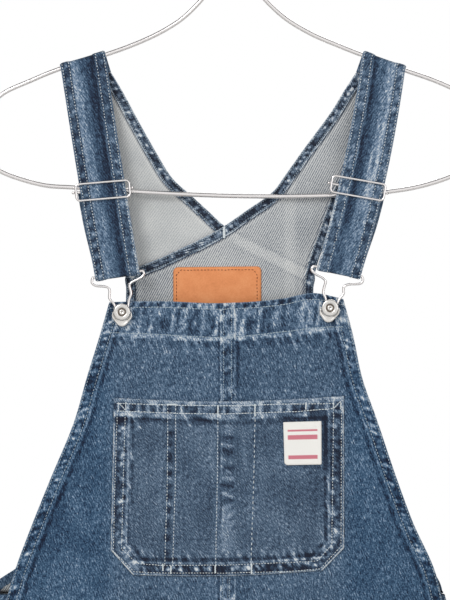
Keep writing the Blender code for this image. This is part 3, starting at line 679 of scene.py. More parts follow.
# A turned hem round a leg's end: its height and its shade
def legHemLook(x, fromBottom, seed):
    rope = train(seed, -300, 300, 9.5, 0.3, 0.3)(x + 0.8 * fromBottom)
    turned = band(fromBottom, 1.0, legHem, 1.2)
    return turned * 0.5 * rope, turned * (0.5 * rope - 0.22) + 0.28 * bump(fromBottom, 0, 1.0)


# Front pieces

bibHemDepth = table(
    "x depth",
    (-109, 27.3),
    (-60, 29.6),
    (-4, 30.8),
    (41, 28.6),
    (70, 28.4),
    (98, 24.0),
)
bibHemAt = reader(bibHemDepth, "depth", "x")

# Pale lines on the bib, in the photograph's pixels: under the deep hem and beside the pocket
bibCreases = table(
    "x1 z1 x2 z2 width rise",
    (103, 338, 108, 352, 1.0, 0.30), (118, 337, 124, 350, 1.1, 0.33), (131, 338, 138, 353, 1.2, 0.36),
    (148, 339, 153, 350, 1.0, 0.27), (160, 340, 168, 356, 1.3, 0.36), (181, 341, 187, 353, 1.0, 0.30),
    (196, 341, 204, 357, 1.2, 0.33), (210, 342, 215, 352, 1.0, 0.27), (244, 341, 250, 353, 1.1, 0.33),
    (258, 339, 265, 354, 1.2, 0.36), (274, 336, 279, 347, 1.0, 0.27), (289, 334, 297, 350, 1.3, 0.36),
    (306, 332, 311, 344, 1.0, 0.30), (322, 330, 329, 345, 1.2, 0.33), (336, 329, 341, 341, 1.0, 0.27),
    (92, 372, 106, 398, 2.6, 0.07), (356, 372, 352, 400, 2.6, 0.07), (60, 470, 92, 540, 4.5, 0.07),
    (100, 420, 96, 520, 3.0, 0.06), (362, 430, 372, 520, 3.4, 0.07), (396, 500, 380, 570, 4.0, -0.06),
    (46, 520, 88, 590, 5.0, 0.06), (250, 578, 262, 600, 2.0, 0.08), (180, 580, 186, 600, 2.2, 0.07),
    (110, 556, 96, 588, 2.6, -0.08), (346, 552, 358, 590, 2.6, -0.08),
)


# Crease rows given in the photograph's pixels, in the frame's millimetres.
def inFrame(rows):
    return [dict(row, x1=pixelX(row["x1"]), x2=pixelX(row["x2"]),
                 z1=pixelZ(row["z1"]), z2=pixelZ(row["z2"])) for row in rows]


def frontGrid(side):
    z = np.concatenate([spread(bibTop, -665, 1.6), spread(-665, frontMeetsSide, 3.2)[1:],
                        spread(frontMeetsSide, -1660, 9.0)[1:], spread(-1660, legEnd, 2.0)[1:]])
    outer = np.where(z > frontMeetsSide, frontEdgeAt[side](z), foldAt[side](z))
    inner = innerEdge(z)
    nearSeam = np.arange(13) * 0.8
    nearEdge = np.arange(17, -1, -1) * 1.1
    start = inner + nearSeam[-1]
    end = outer - nearEdge[0]
    middle = start[:, None] + (end - start)[:, None] * np.linspace(0, 1, 84)[None, 1:-1]
    width = np.concatenate([inner[:, None] + nearSeam, middle, outer[:, None] - nearEdge], axis=1)
    slope = np.gradient(outer, z)
    along = np.concatenate([[0], np.cumsum(np.hypot(np.diff(outer), np.diff(z)))])
    return {"z": np.repeat(z[:, None], width.shape[1], axis=1), "width": width,
            "fromEdge": (outer[:, None] - width) / np.sqrt(1 + slope[:, None] ** 2),
            "along": np.repeat(along[:, None], width.shape[1], axis=1),
            "fromSeam": width - inner[:, None]}


def frontLook(side, grid, x):
    z = grid["z"]
    fromEdge = grid["fromEdge"]
    bib = ease(z, -828, -806)
    height, shade = hemLook(fromEdge, grid["along"], 11 + side, hemWidth, 7.2, 1.2)
    shade += 0.13 * band(fromEdge, 1, hemWidth - 1, 1) * ease(z, -465, -425)
    shade += 0.12 * bump(fromEdge, 0.8, 0.9) * (0.7 + 0.6 * mottle(grid["along"], 0 * z, 5, 19))
    height = height * bib
    shade = 0.5 + shade * bib
    # deep hem across the top, between its two stitch rows
    down = bibTop - z
    depth = bibHemAt(x)
    inField = ease(fromEdge, hemWidth - 1, hemWidth + 2)
    mouth = train(21, -260, 260, 8.0)(x + 0.3 * down)
    streaks = train(22, -260, 260, 10.5, 0.5, 0.22)(x + 0.16 * down)
    tight = train(23, -260, 260, 7.4, 0.45, 0.2)(x - 0.5 * down)
    top = band(down, 1.0, 4.6, 0.8)
    between = band(down, 6.6, depth - 2.0, 1.6)
    under = band(down, depth + 0.6, depth + 3.4, 1.2)
    beneath = band(down, depth + 4.4, depth + 9.0, 3.0)
    stripes = mottle(x + 0.12 * down, down * 0.3, 2.9, 26)
    fromSeam = grid["fromSeam"]
    onSeam = aboveCrotch(z)
    seam = (1 - ease(fromSeam, seamBand - 0.9, seamBand + 0.5)) * onSeam
    change = top * (0.66 * mouth - 0.3 + 0.22 * mottle(x, z, 2.2, 27))
    speckle = 0.22 * stripes + 0.12 * mottle(x, z, 9, 24) + 0.14 * mottle(x, z, 2.4, 28)
    change += between * (0.38 * streaks - 0.15 + speckle) * inField
    change += under * (0.26 + 0.26 * mottle(x, z * 0.5, 4.5, 25)) * inField * (1 - 0.8 * seam)
    change += beneath * (0.36 * tight - 0.16) * inField
    change += 0.26 * bump(down, 0.2, 0.9)
    shade += change
    height += top * (0.35 * mouth - 0.1) + between * (0.45 * streaks - 0.12) * inField
    height += under * 0.35 * inField + beneath * (0.4 * tight - 0.2) * inField
    height = height - 0.3 * bump(down, 5.4, 0.8) - 0.3 * bump(down, depth, 0.8)
    height -= 0.8 * (1 - ease(down, -0.1, 1.2))
    # felled seam down the middle, with painted shadow beside it
    rungs = train(31, 330, 1200, 9.0, 0.4, 0.26)(-z + 0.3 * (x - centreX))
    dark = band(z, pixelZ(380), pixelZ(347), 6)
    pale = band(z, pixelZ(345), pixelZ(312), 5)
    rungs = rungs * (0.8 + 0.4 * mottle(x, z, 3.5, 32))
    shade += seam * (0.36 * rungs - 0.13 + 0.26 * mottle(x, z, 2.4, 33) - 0.12 * dark + 0.18 * pale)
    height += seam * (seamRise + 0.3 * rungs - 0.15)
    # painted shadow of the raised seam: a dark line past its folded edge on the left, a dark strip right
    # of it
    if side == left:
        shade += onSeam * (0.34 * bump(fromSeam, 6.0, 0.65) - 0.24 * bump(fromSeam, 7.7, 0.9))
    else:
        shade += onSeam * 0.2 * bump(fromSeam, 6.0, 0.7)
        shadowStrip = bump(fromSeam, 8.6, 1.5)
        shade -= onSeam * shadowStrip * (0.08 + 0.2 * band(z, pixelZ(380), pixelZ(344), 12))
        worn = band(x, pixelX(236), pixelX(243), 1.5) * band(z, pixelZ(336), pixelZ(315), 2)
        shade += 0.13 * worn
    # field: smoother and bluer beside the pocket, paler below it, thighs rubbed
    lines = creaseAndShadowLines(inFrame(bibCreases), x, z)
    soft = mottle(x, z, 17, 41) * 0.035 + mottle(x, z * 0.4, 6, 42) * 0.04
    beside = band(z, -645, -480, 70) * ease(np.abs(x - centreX), 88, 116)
    low = ease(z, -632, -652)
    thigh = np.exp(-((grid["width"] - 125) / 62) ** 2) * band(z, -1330, -900, 160)
    field = inField * (1 - between) * (1 - seam)
    deeper = 0.035 * ease(x, -8, 4) * ease(z, -478, -470)
    deeper = deeper + 0.06 * ease(x, -108, -122) * band(z, -610, -520, 15)
    worn = 0.65 * lines + soft + 0.13 * thigh
    shade += field * (worn - 0.045 - deeper - 0.03 * beside - 0.015 * low)
    height += field * (lines * 1.5)
    tint = beside * 0.22 + 0.05
    # lower edge of the leg and its side seam
    fromBottom = z - legEnd
    legHeight, legShade = legHemLook(x, fromBottom, 51 + side)
    shade += legShade
    height += legHeight - 0.3 * bump(fromBottom, legHem + 0.1, 0.9)
    leg = 1 - bib
    shade += leg * (0.12 * bump(fromEdge, 2.0, 3.0) - 0.1 * bump(fromEdge, 8, 3.5))
    return {"height": height, "shade": shade, "tint": tint}


def frontPiece(side):
    grid = frontGrid(side)
    z = grid["z"]
    x = centreX + side * grid["width"]
    # the two fronts meet at their felled seam
    x = x - side * (gap / 2 - 0.02) * (1 - ease(grid["fromSeam"], 0, 1.5)) * (z > crotch + 2)
    face = np.stack([x, frontFace(side, x, z), z + bibShift(x, z)], axis=2)
    look = frontLook(side, grid, x)
    hemmed = np.maximum(1 - ease(grid["fromEdge"], hemWidth, hemWidth + 1.2), ease(bibTop - z, 31.5, 30))
    hemmed = np.where(z > frontMeetsSide, hemmed, 0)
    hemmed = np.maximum(hemmed, 1 - ease(z - legEnd, legHemEnd, legHemEnd + 1.2))
    depth = cloth + (hem - cloth) * hemmed
    look["backHeight"] = -0.5 * (1 - ease(grid["fromEdge"], 0, 1.2)) * ease(z, -828, -806)
    look["backShade"] = 0.5 + 0.1 * mottle(x, z, 14, 43) - 0.1 * hemmed
    look["blueInside"] = hemmed > 0.5

    def limit(back):
        back[..., 1] = np.minimum(back[..., 1], -gap / 2)
        away = (back[..., 0] - centreX) * side
        back[..., 0] = centreX + side * np.maximum(away, 0.02)
        return back

    uv = np.stack([x, z], axis=2)
    piece = shell("front_cloth_" + sideNames[side], face, depth, look, towardsFront, (20, 20),
                  (denim, twillInside), uv, limit)
    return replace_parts(piece, "front_" + sideNames[side])


# Back pieces

def backEndAngle(side, z):
    fold = foldAt[side](z)
    wing = np.arcsin(np.minimum(wingAt[side](z) / fold, 0.999))
    reach = math.pi - np.arcsin(np.minimum((frontEdgeAt[side](z) - underlap) / fold, 0.999))
    lower = math.pi / 2 + (reach - math.pi / 2) * ease(z, openingEnd, openingEnd + 40)
    return np.where(z >= openingTop, wing, np.where(z <= openingEnd, math.pi / 2, lower))


def backPiece(side):
    zLine = np.concatenate([spread(waist, openingTop, 2.5), spread(openingTop - 0.5, frontMeetsSide, 4.0),
                            spread(frontMeetsSide, -1660, 9.0)[1:], spread(-1660, legEnd, 2.0)[1:]])
    share = np.linspace(0, 1, 76)[None, :]
    z = np.repeat(zLine[:, None], 76, axis=1)
    fold = foldAt[side](z)
    inner = innerEdge(z)
    angle = share * backEndAngle(side, z)
    bodyWidth = np.maximum(fold * np.sin(angle), inner)
    legWidth = (fold + inner) / 2 + (fold - inner) / 2 * np.sin((share - 0.5) * math.pi)
    blend = ease(z, crotch + crotchCurve, crotch)
    x = centreX + side * (bodyWidth * (1 - blend) + legWidth * blend)
    under = ease(bodyWidth, fold, np.minimum(frontEdgeAt[side](z) + 1, fold - 1)) * (hem + 4 * gap)
    forward = (angle > math.pi / 2) & (z > openingEnd)
    y = np.where(forward, np.minimum(frontFace(side, x, z) + under, 0.0), backFace(side, x, z))
    face = np.stack([x, y, z], axis=2)
    step = np.linalg.norm(np.diff(face, axis=1), axis=2)
    across = np.concatenate([np.zeros((len(zLine), 1)), np.cumsum(step, axis=1)], axis=1)
    fromEdge = across[:, -1:] - across
    fromTop = waist - z
    wingTop = z >= openingTop - 6
    lean = np.where(wingTop, 0.62, 1.0)
    atOpening = ease(z, openingEnd - 16, openingEnd + 6)
    height, shade = hemLook(fromEdge * lean, -z, 61 + side)
    legHeight, legShade = legHemLook(x, z - legEnd, 63 + side)
    height = height * atOpening + legHeight
    shade = 0.5 + shade * atOpening + legShade
    seat = np.exp(-((np.abs(x - centreX) - 120) / 60) ** 2) * band(z, -930, -780, 70)
    waistPuckers = train(65, -300, 300, 9.0, 0.4, 0.25)(x)
    belt = band(fromTop, 1.0, 11.0, 1.0)
    rungs = train(66, 550, 1200, 9.0, 0.4, 0.26)(-z)
    seam = (1 - ease(across, 5.6, 7.0)) * aboveCrotch(z)
    shade += 0.12 * seat + belt * (0.45 * waistPuckers - 0.2) + seam * (0.34 * rungs - 0.12)
    shade += 0.03 * mottle(x, z, 19, 67) + 0.03 * mottle(x, z * 0.4, 7, 68)
    height += belt * 0.4 * waistPuckers + seam * (0.4 + 0.3 * rungs)
    look = {"height": height, "shade": shade, "tint": 0 * shade + 0.1}
    inLegHem = z - legEnd < legHemEnd
    look["backShade"] = 0.45 + 0.1 * mottle(x, z, 14, 69)
    look["blueInside"] = (fromEdge * lean < hemWidth) & (z > openingEnd) | inLegHem
    depth = cloth + (hem - cloth) * inLegHem

    def limit(back):
        seamed = back[..., 2] < openingEnd + 5
        back[..., 1] = np.where(seamed, np.maximum(back[..., 1], gap / 2), back[..., 1])
        away = (back[..., 0] - centreX) * side
        back[..., 0] = centreX + side * np.maximum(away, gap / 2)
        return back

    uv = np.stack([centreX + side * across, z], axis=2)
    piece = shell("back_cloth_" + sideNames[side], face, depth, look, towardsBack, (20, 20),
                  (denim, twillInside), uv, limit)
    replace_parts(piece, "back_" + sideNames[side])
    opening = z[:, 0] > openingEnd + 4
    rows = [rowPoints(face, fromEdge * lean, row, towardsBack, (20, 20))[opening] for row in hemRows]
    return piece, rows


fronts = {side: frontPiece(side) for side in (left, right)}
backs = {}
wingRows = {}
for side in (left, right):
    backs[side], wingRows[side] = backPiece(side)


# Crossed yokes, seen from inside

# Catmull-Rom values between table rows; places are row numbers with fractions.
def smoothRows(values, places):
    values = np.asarray(values, float)
    padded = np.concatenate([[2 * values[0] - values[1]], values, [2 * values[-1] - values[-2]]])
    index = np.clip(np.floor(places).astype(int), 0, len(values) - 2)
    t = (places - index).reshape(-1, *[1] * (values.ndim - 1))
    p0, p1, p2, p3 = (padded[index + shift] for shift in range(4))
    return 0.5 * (2 * p1 + (p2 - p0) * t + (2 * p0 - 5 * p1 + 4 * p2 - p3) * t ** 2
                  + (3 * p1 - p0 - 3 * p2 + p3) * t ** 3)


straps = {
    left: {"outerTop": (-152.2, -191.2), "innerTop": (-112.6, -179.0),
           "outerLow": (-121.4, -376.4), "innerLow": (-82.3, -370.6), "bow": 0.6,
           "base": 0.28, "lowBase": 0.03, "pale": 0.36, "streaks": 1.5, "stripe": 6.0},
    right: {"outerTop": (152.2, -192.8), "innerTop": (114.4, -179.3),
            "outerLow": (112.6, -374.8), "innerLow": (74.4, -366.6), "bow": 3.6,
            "base": 0.39, "lowBase": 0.0, "pale": 0.28, "streaks": 2.2, "stripe": 7.5},
}
strapCloth = 1.9
strapRise = 0.5
strapHems = {"outer": 8.8, "outerRows": (1.3, 7.9), "inner": 10.4, "innerRows": (1.5, 9.0)}
backDrop = 16.0


# Unit vector square to the line between two edge points, pointing up.
def squareUp(outer, inner):
    line = np.array(outer) - np.array(inner)
    up = np.array([line[1], -line[0]]) / np.linalg.norm(line)
    return up if up[1] > 0 else -up


def yokeRows(side, rows):
    sizes = straps[side]
    up = squareUp(sizes["outerTop"], sizes["innerTop"])
    outer = np.array(sizes["outerTop"]) - up * (backDrop + gap)
    inner = np.array(sizes["innerTop"]) - up * (backDrop + gap)
    first = {"neckX": inner[0], "neckZ": inner[1], "armX": outer[0], "armZ": outer[1]}
    return [first] + rows


# Distance from grid points to an edge line, and the length along it.
def edgeDistance(x, z, edgeX, edgeZ):
    length = np.concatenate([[0], np.cumsum(np.hypot(np.diff(edgeX), np.diff(edgeZ)))])
    nearest = np.full(x.shape, 1e9)
    along = np.zeros(x.shape)
    for i in range(len(edgeX) - 1):
        runX = edgeX[i + 1] - edgeX[i]
        runZ = edgeZ[i + 1] - edgeZ[i]
        size = max(runX ** 2 + runZ ** 2, 1e-9)
        t = np.clip(((x - edgeX[i]) * runX + (z - edgeZ[i]) * runZ) / size, 0, 1)
        away = np.hypot(x - edgeX[i] - t * runX, z - edgeZ[i] - t * runZ)
        closer = away < nearest
        nearest = np.where(closer, away, nearest)
        along = np.where(closer, length[i] + t * (length[i + 1] - length[i]), along)
    return nearest, along


yokeHem = 8.5
yokeRowsAt = (1.4, 7.0)


def yokePiece(name, node, side, rows, forward, seed):
    rows = yokeRows(side, rows)
    places = np.linspace(0, len(rows) - 1, 190)
    edges = {key: smoothRows([row[key] for row in rows], places) for key in rows[0]}
    share = np.concatenate([np.linspace(0, 0.13, 16), np.linspace(0.13, 0.87, 44)[1:-1],
                            np.linspace(0.87, 1, 16)])[None, :]
    x = edges["neckX"][:, None] + (edges["armX"] - edges["neckX"])[:, None] * share
    z = edges["neckZ"][:, None] + (edges["armZ"] - edges["neckZ"])[:, None] * share
    y = bySide(backFace, x, z) - forward * ease(z, -205, -290)
    face = np.stack([x, y, z], axis=2)
    thin = slice(None, None, 3)
    fromNeck, alongNeck = edgeDistance(x, z, edges["neckX"][thin], edges["neckZ"][thin])
    fromArm, alongArm = edgeDistance(x, z, edges["armX"][thin], edges["armZ"][thin])
    neckHeight, neckShade = hemLook(fromNeck, alongNeck, seed, yokeHem, 5.6, 1.7, yokeRowsAt, lip=False)
    armHeight, armShade = hemLook(fromArm, alongArm, seed + 1, yokeHem, 5.8, 1.7, yokeRowsAt, lip=False)
    fine = 0.05 * mottle(x, z, 15, seed + 2)
    outside = 0.5 + neckShade + armShade + fine
    inHem = np.minimum(fromNeck, fromArm) < yokeHem
    inner = (0.4 if side == right else 0.6) + fine
    if side == right:
        # a seam behind shows through as a pale band with dark lines beside it
        away = (x - pixelX(236)) * 0.447 + (z - pixelZ(239)) * 0.894
        past = ease(x, pixelX(228), pixelX(238))
        inner += past * (0.13 * band(away, -4.4, 4.4, 1.0) - 0.14 * bump(np.abs(away), 5.6, 0.9))
        inner += 0.09 * band(x, pixelX(286), pixelX(295), 1.5)
    # painted shadow on the inside: a dark line just past each hem's edge
    for away in (fromNeck, fromArm):
        inner = inner - 0.4 * bump(away, yokeHem + 0.6, 0.8) + 0.08 * bump(away, yokeHem + 3, 1.2)
    hemShade = 0.47 + 1.15 * (neckShade + armShade) + 0.1 * mottle(x, z, 2.8, seed + 3)
    for away in (fromNeck, fromArm):
        hemShade += 0.66 * bump(away, yokeHem - 0.4, 0.65)
    backShade = np.where(inHem, hemShade, inner)
    hemmed = 1 - ease(np.minimum(fromNeck, fromArm), yokeHem, yokeHem + 1.2)
    relief = 0.6 * (neckHeight + armHeight)
    look = {"height": relief, "shade": outside, "tint": 0 * x, "backHeight": relief,
            "backShade": backShade, "backTint": 0 * x - 0.4, "blueInside": inHem}
    depth = cloth + (hem - cloth) * hemmed
    uv = np.stack([x, z], axis=2)
    if side == left:
        # cut on another grain, in a finer cloth
        uv = 1.4 * np.stack([0.64 * x + 0.77 * z, 0.64 * z - 0.77 * x], axis=2)
    piece = shell(name, face, depth, look, towardsBack, (90, 30), (denim, twillInside), uv)
    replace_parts(piece, node)
    return piece, edges


innerYokePiece, innerYokeEdges = yokePiece("yoke_cloth_inner", "yoke_inner", right, innerYoke,
                                           yokeSpacing, 71)
outerYokePiece, outerYokeEdges = yokePiece("yoke_cloth_outer", "yoke_outer", left, outerYoke, 0.0, 81)
print("garment body ready")


# Straps

wireRadius = {"hanger": 2.0, "slider": 1.05, "bar": 1.2, "buckle": 1.2}
sliders = {
    left: {"x": -114.6, "z": -299.5, "tilt": 4.9},
    right: {"x": 110.2, "z": -297.4, "tilt": -9.9},
}
slider = {"width": 47.4, "height": 14.6, "corner": 3.3, "y": -13.2}
buckleY = -12.5


# Rows of a strap from the shoulder seam over the wire, down, round the buckle and back up
def strapRows(side):
    sizes = straps[side]
    outerTop, innerTop, outerLow, innerLow = (np.array(sizes[key]) for key in
                                              ("outerTop", "innerTop", "outerLow", "innerLow"))
    up = squareUp(outerTop, innerTop)
    lowUp = squareUp(outerLow, innerLow)

    def edges(share, shift=0.0):
        aside = np.array([side * (sizes["bow"] * 4 * share * (1 - share) + shift), 0])
        outer = outerTop + (outerLow - outerTop) * share + aside
        return outer, innerTop + (innerLow - innerTop) * share + aside

    over = wireRadius["hanger"] + gap + strapCloth
    rows = [(outerTop - up * drop, innerTop - up * drop, over) for drop in (backDrop, 6.0)]
    for step in range(5):
        angle = math.pi * step / 4
        lift = up * over * math.sin(angle)
        rows.append((outerTop + lift, innerTop + lift, over * math.cos(angle)))
    frontY = slider["y"] + wireRadius["slider"] + gap
    roundBar = wireRadius["buckle"] + gap + strapCloth
    endY = buckleY - roundBar
    for share in (0.08, 0.2, 0.34, 0.46, 0.56, 0.64, 0.72, 0.86, 0.97):
        if share < 0.56:
            y = -over + (frontY + over) * ease(share, 0.0, 0.56)
        else:
            y = frontY + (endY - frontY) * ease(share, 0.66, 0.97)
        rows.append((*edges(share), float(y)))
    for step in range(1, 6):
        angle = math.pi * step / 6
        drop = lowUp * roundBar * math.sin(angle)
        rows.append((outerLow - drop, innerLow - drop, buckleY - roundBar * math.cos(angle)))
    behind = frontY + 2 * strapCloth + 2 * wireRadius["bar"] + 3 * gap
    for share in (0.98, 0.9, 0.78, 0.68, 0.6):
        back = float(ease(share, 0.97, 0.7))
        y = buckleY + roundBar + (behind - buckleY - roundBar) * back
        rows.append((*edges(share, 2.6 * back), y))
    return rows


def strapPiece(side):
    sizes = straps[side]
    rows = strapRows(side)
    stations = np.array([(*outer, *inner, y) for outer, inner, y in rows])
    centres = (stations[:, :2] + stations[:, 2:4]) / 2
    step = np.hypot(np.linalg.norm(np.diff(centres, axis=0), axis=1), np.diff(stations[:, 4]))
    length = np.concatenate([[0], np.cumsum(step)])
    wanted = spread(0, length[-1], 1.35)
    line = smoothRows(stations, np.interp(wanted, length, np.arange(len(rows))))
    columns = 36
    share = np.linspace(0, 1, columns)[None, :]
    x = line[:, 0:1] + (line[:, 2:3] - line[:, 0:1]) * share
    z = line[:, 1:2] + (line[:, 3:4] - line[:, 1:2]) * share
    face = np.stack([x, np.repeat(line[:, 4:5], columns, axis=1), z], axis=2)
    width = np.hypot(line[:, 2] - line[:, 0], line[:, 3] - line[:, 1])[:, None]
    fromOuter = share * width
    fromInner = (1 - share) * width
    along = np.repeat(wanted[:, None], columns, axis=1)
    outerHem = strapHems["outer"]
    innerHem = strapHems["inner"]
    outerHeight, outerShade = hemLook(fromOuter, along, 91 + side, outerHem, 9.4, 0.8,
                                      strapHems["outerRows"], lip=False)
    innerHeight, innerShade = hemLook(fromInner, along, 94 + side, innerHem, 9.4, 0.7,
                                      strapHems["innerRows"], lip=False)
    worn = mottle(along, 0 * along, 30, 97 + side)
    # rubbed stripe beside the outer hem, running out into the blue, and a deep one beside the inner hem
    stripeEnd = outerHem + sizes["stripe"] + 1.4 * worn
    pale = ease(fromOuter, outerHem - 0.6, outerHem + 0.8)
    pale = pale * (1 - ease(fromOuter, stripeEnd - 3, stripeEnd + 8))
    deep = ease(fromInner, innerHem + 9 + 2 * worn, innerHem + 1.6)
    deep = deep * ease(fromInner, innerHem - 0.4, innerHem + 0.6)
    streaks = 0.06 * mottle(fromOuter, along * 0.12, 1.7, 96 + side)
    streaks = streaks + 0.05 * mottle(fromOuter, along * 0.2, 3.4, 90 + side)
    middle = ease(fromOuter, outerHem, outerHem + 1.0) * ease(fromInner, innerHem, innerHem + 1.0)
    low = ease(along, 120, 170)
    shade = sizes["base"] + sizes["lowBase"] * low + outerShade + innerShade
    shade += (sizes["pale"] - 0.06 * low) * pale - (0.21 - 0.03 * low) * deep
    shade += sizes["streaks"] * streaks * middle + 0.11 * (1 - middle)
    shade += 0.18 * bump(fromInner, innerHem + 0.3, 0.8) * (0.6 + 0.4 * worn)
    shade += 0.26 * low * bump(fromInner, 0.9, 1.2)
    height = outerHeight + innerHeight - strapRise * middle
    height += 0.25 * mottle(fromOuter, along, 24, 99 + side) * middle
    look = {"height": height, "shade": shade, "tint": 0.14 * middle - 0.1,
            "backHeight": -0.35 * (bump(fromOuter, 0, 0.8) + bump(fromInner, 0, 0.8)),
            "backShade": 0 * shade + 0.45}
    uv = np.stack([fromOuter, -along], axis=2)
    probe = (int(len(wanted) * 0.45), columns // 2)
    piece = shell("strap_cloth_" + sideNames[side], face, strapCloth, look, towardsFront, probe,
                  (strapDenim,), uv)
    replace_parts(piece, "strap_" + sideNames[side])
    lines = []
    for key, away in (("outerRows", fromOuter), ("innerRows", fromInner)):
        lines += [rowPoints(face, away, row, towardsFront, probe) for row in strapHems[key]]
    return piece, lines


strapPieces = {}
strapLines = {}
for side in (left, right):
    strapPieces[side], strapLines[side] = strapPiece(side)


# Bib pocket

pocketRows = table(
    "leftX leftZ rightX rightZ dip",
    (-104.7, -482.2, 97.7, -480.5, 3.8),
    (-104.9, -491.0, 97.7, -489.4, 3.8),
    (-105.6, -530.0, 97.7, -528.5, 2.5),
    (-106.4, -570.0, 97.7, -569.0, 1.2),
    (-107.2, -600.0, 97.7, -599.0, 0.4),
    (-107.4, -616.0, 97.7, -614.2, 0.2),
    (-88.0, -637.6, 78.8, -633.6, 2.6),
)

# Pale and dark lines on the pocket, in the photograph's pixels; the dark lines just under the mouth's hem
# and beside and under the label are painted shadow
pocketCreasesAndShadows = table(
    "x1 z1 x2 z2 width rise",
    (132, 416, 141, 429, 0.9, 0.24), (182.5, 413, 191.5, 427, 0.9, 0.24),
    (211, 418, 217, 427, 1.0, 0.2), (261, 413, 266, 424, 0.9, 0.22), (273, 414, 276, 420, 1.2, 0.22),
    (304, 410, 308, 420, 0.9, 0.22), (150, 416, 152, 426, 1.6, 0.12), (158, 415, 160, 432, 1.8, 0.1),
    (299.5, 546, 305.5, 561, 0.9, 0.24), (309, 548, 316, 560, 0.9, 0.24),
    (290, 548, 296, 561, 1.0, 0.18), (275, 551, 279, 561, 1.2, 0.16), (140, 546, 146, 558, 1.0, 0.2),
    (150, 549, 155, 560, 1.0, 0.2), (186, 551, 191, 561, 1.1, 0.18), (200, 550, 205, 561, 1.1, 0.18),
    (237, 549, 241, 560, 1.2, 0.18), (262, 549, 266, 559, 1.2, 0.16), (131, 424, 131, 462, 1.1, 0.22),
    (130.5, 452, 133.5, 461, 0.9, 0.2), (130.5, 460, 130, 486, 1.0, 0.24),
    (128, 482, 131, 489, 1.0, 0.2), (130, 486, 130.5, 512, 1.0, 0.24),
    (130.5, 508, 130, 548, 1.1, 0.24), (325.6, 472, 329.4, 491, 0.9, 0.24),
    (325.6, 500, 332, 517, 0.9, 0.24), (322, 530, 325, 552, 1.0, 0.14), (221, 444, 233, 446, 1.0, 0.22),
    (221, 458.5, 232, 462, 1.0, 0.2), (221, 466, 231, 473, 0.9, 0.22), (222, 478, 234, 478, 1.1, 0.2),
    (221, 492, 234, 497, 1.0, 0.24), (222, 437, 234, 438, 2.0, -0.2), (222, 451, 234, 452, 2.2, -0.22),
    (223, 468.5, 234, 468.5, 2.0, -0.2), (222, 485, 234, 486, 2.4, -0.22),
    (222, 501, 234, 500, 1.8, -0.2), (228, 419, 228, 436, 4.5, 0.1), (227, 504, 227, 552, 6.0, 0.085),
    # the dark lines across at 412 to 421, just under the mouth's hem, are painted shadow
    (237, 500, 238, 545, 2.4, -0.05), (112, 420, 128, 420, 2.6, -0.26),
    (142, 418.5, 160, 418.5, 1.3, -0.2), (193, 418.5, 214, 421, 1.7, -0.24),
    (236, 415, 260, 416, 1.5, -0.22), (290, 412, 330, 412, 3.0, -0.22),
    (171, 431, 171, 436, 2.6, -0.26), (170.6, 441, 170.4, 446, 2.2, -0.22),
    (170.4, 453, 170, 463, 2.4, -0.24), (169.6, 471, 169.4, 476, 2.8, -0.3),
    (169.4, 483, 169.2, 489, 2.2, -0.24), (169, 492, 168.8, 500, 2.6, -0.24),
    (168.6, 506, 168.6, 513, 2.4, -0.28), (168.2, 520, 168, 528, 2.4, -0.22),
    (167.4, 534, 167.4, 541, 2.4, -0.24), (167.2, 549, 167, 555, 2.2, -0.22),
    (168.6, 466, 172.5, 468, 1.0, 0.2), (168.4, 478, 172, 480, 1.0, 0.18),
    (168, 503, 171, 505, 1.0, 0.18), (212.5, 430, 211.5, 470, 2.6, 0.05),
    (211, 480, 210, 540, 3.2, -0.05), (244, 430, 243, 470, 2.4, 0.05), (290, 480, 288, 520, 7.0, -0.04),
    # the dark lines right of, above and under the label are painted shadow
    (316, 466, 318, 520, 5.0, -0.05), (327, 420, 327, 470, 3.6, -0.13),
    (284, 418, 324, 417.5, 1.8, -0.16), (234, 408.5, 264, 408.5, 4.0, 0.1),
    (300, 467.5, 320, 467, 1.4, -0.1),
)


def pocketSlack(x, z):
    middle = np.sin(math.pi * np.clip((x + 104.7) / 202.4, 0, 1))
    down = ease(z, -637, -600) * ease(z, -470, -500)
    return 1.3 * middle * (0.3 + 0.7 * down)


def onFront(x, z, off):
    near = 1 - ease(np.abs(x - centreX), seamBand + 1.4, seamBand + 3.4)
    return np.stack([x, bySide(frontFace, x, z) - off - seamRise * near, z], axis=-1)


def pocketGrid():
    places = np.concatenate([spread(0, 1, 0.14), spread(1, 5, 0.042)[1:], spread(5, 6, 0.055)[1:]])
    numbers = np.arange(len(pocketRows))
    side = {key: np.interp(places, numbers, [row[key] for row in pocketRows])[:, None]
            for key in pocketRows[0]}
    share = np.concatenate([np.linspace(0, 0.09, 17), np.linspace(0.09, 0.91, 98)[1:-1],
                            np.linspace(0.91, 1, 17)])[None, :]
    x = side["leftX"] + (side["rightX"] - side["leftX"]) * share
    z = side["leftZ"] + (side["rightZ"] - side["leftZ"]) * share - side["dip"] * np.sin(math.pi * share)
    return x, z


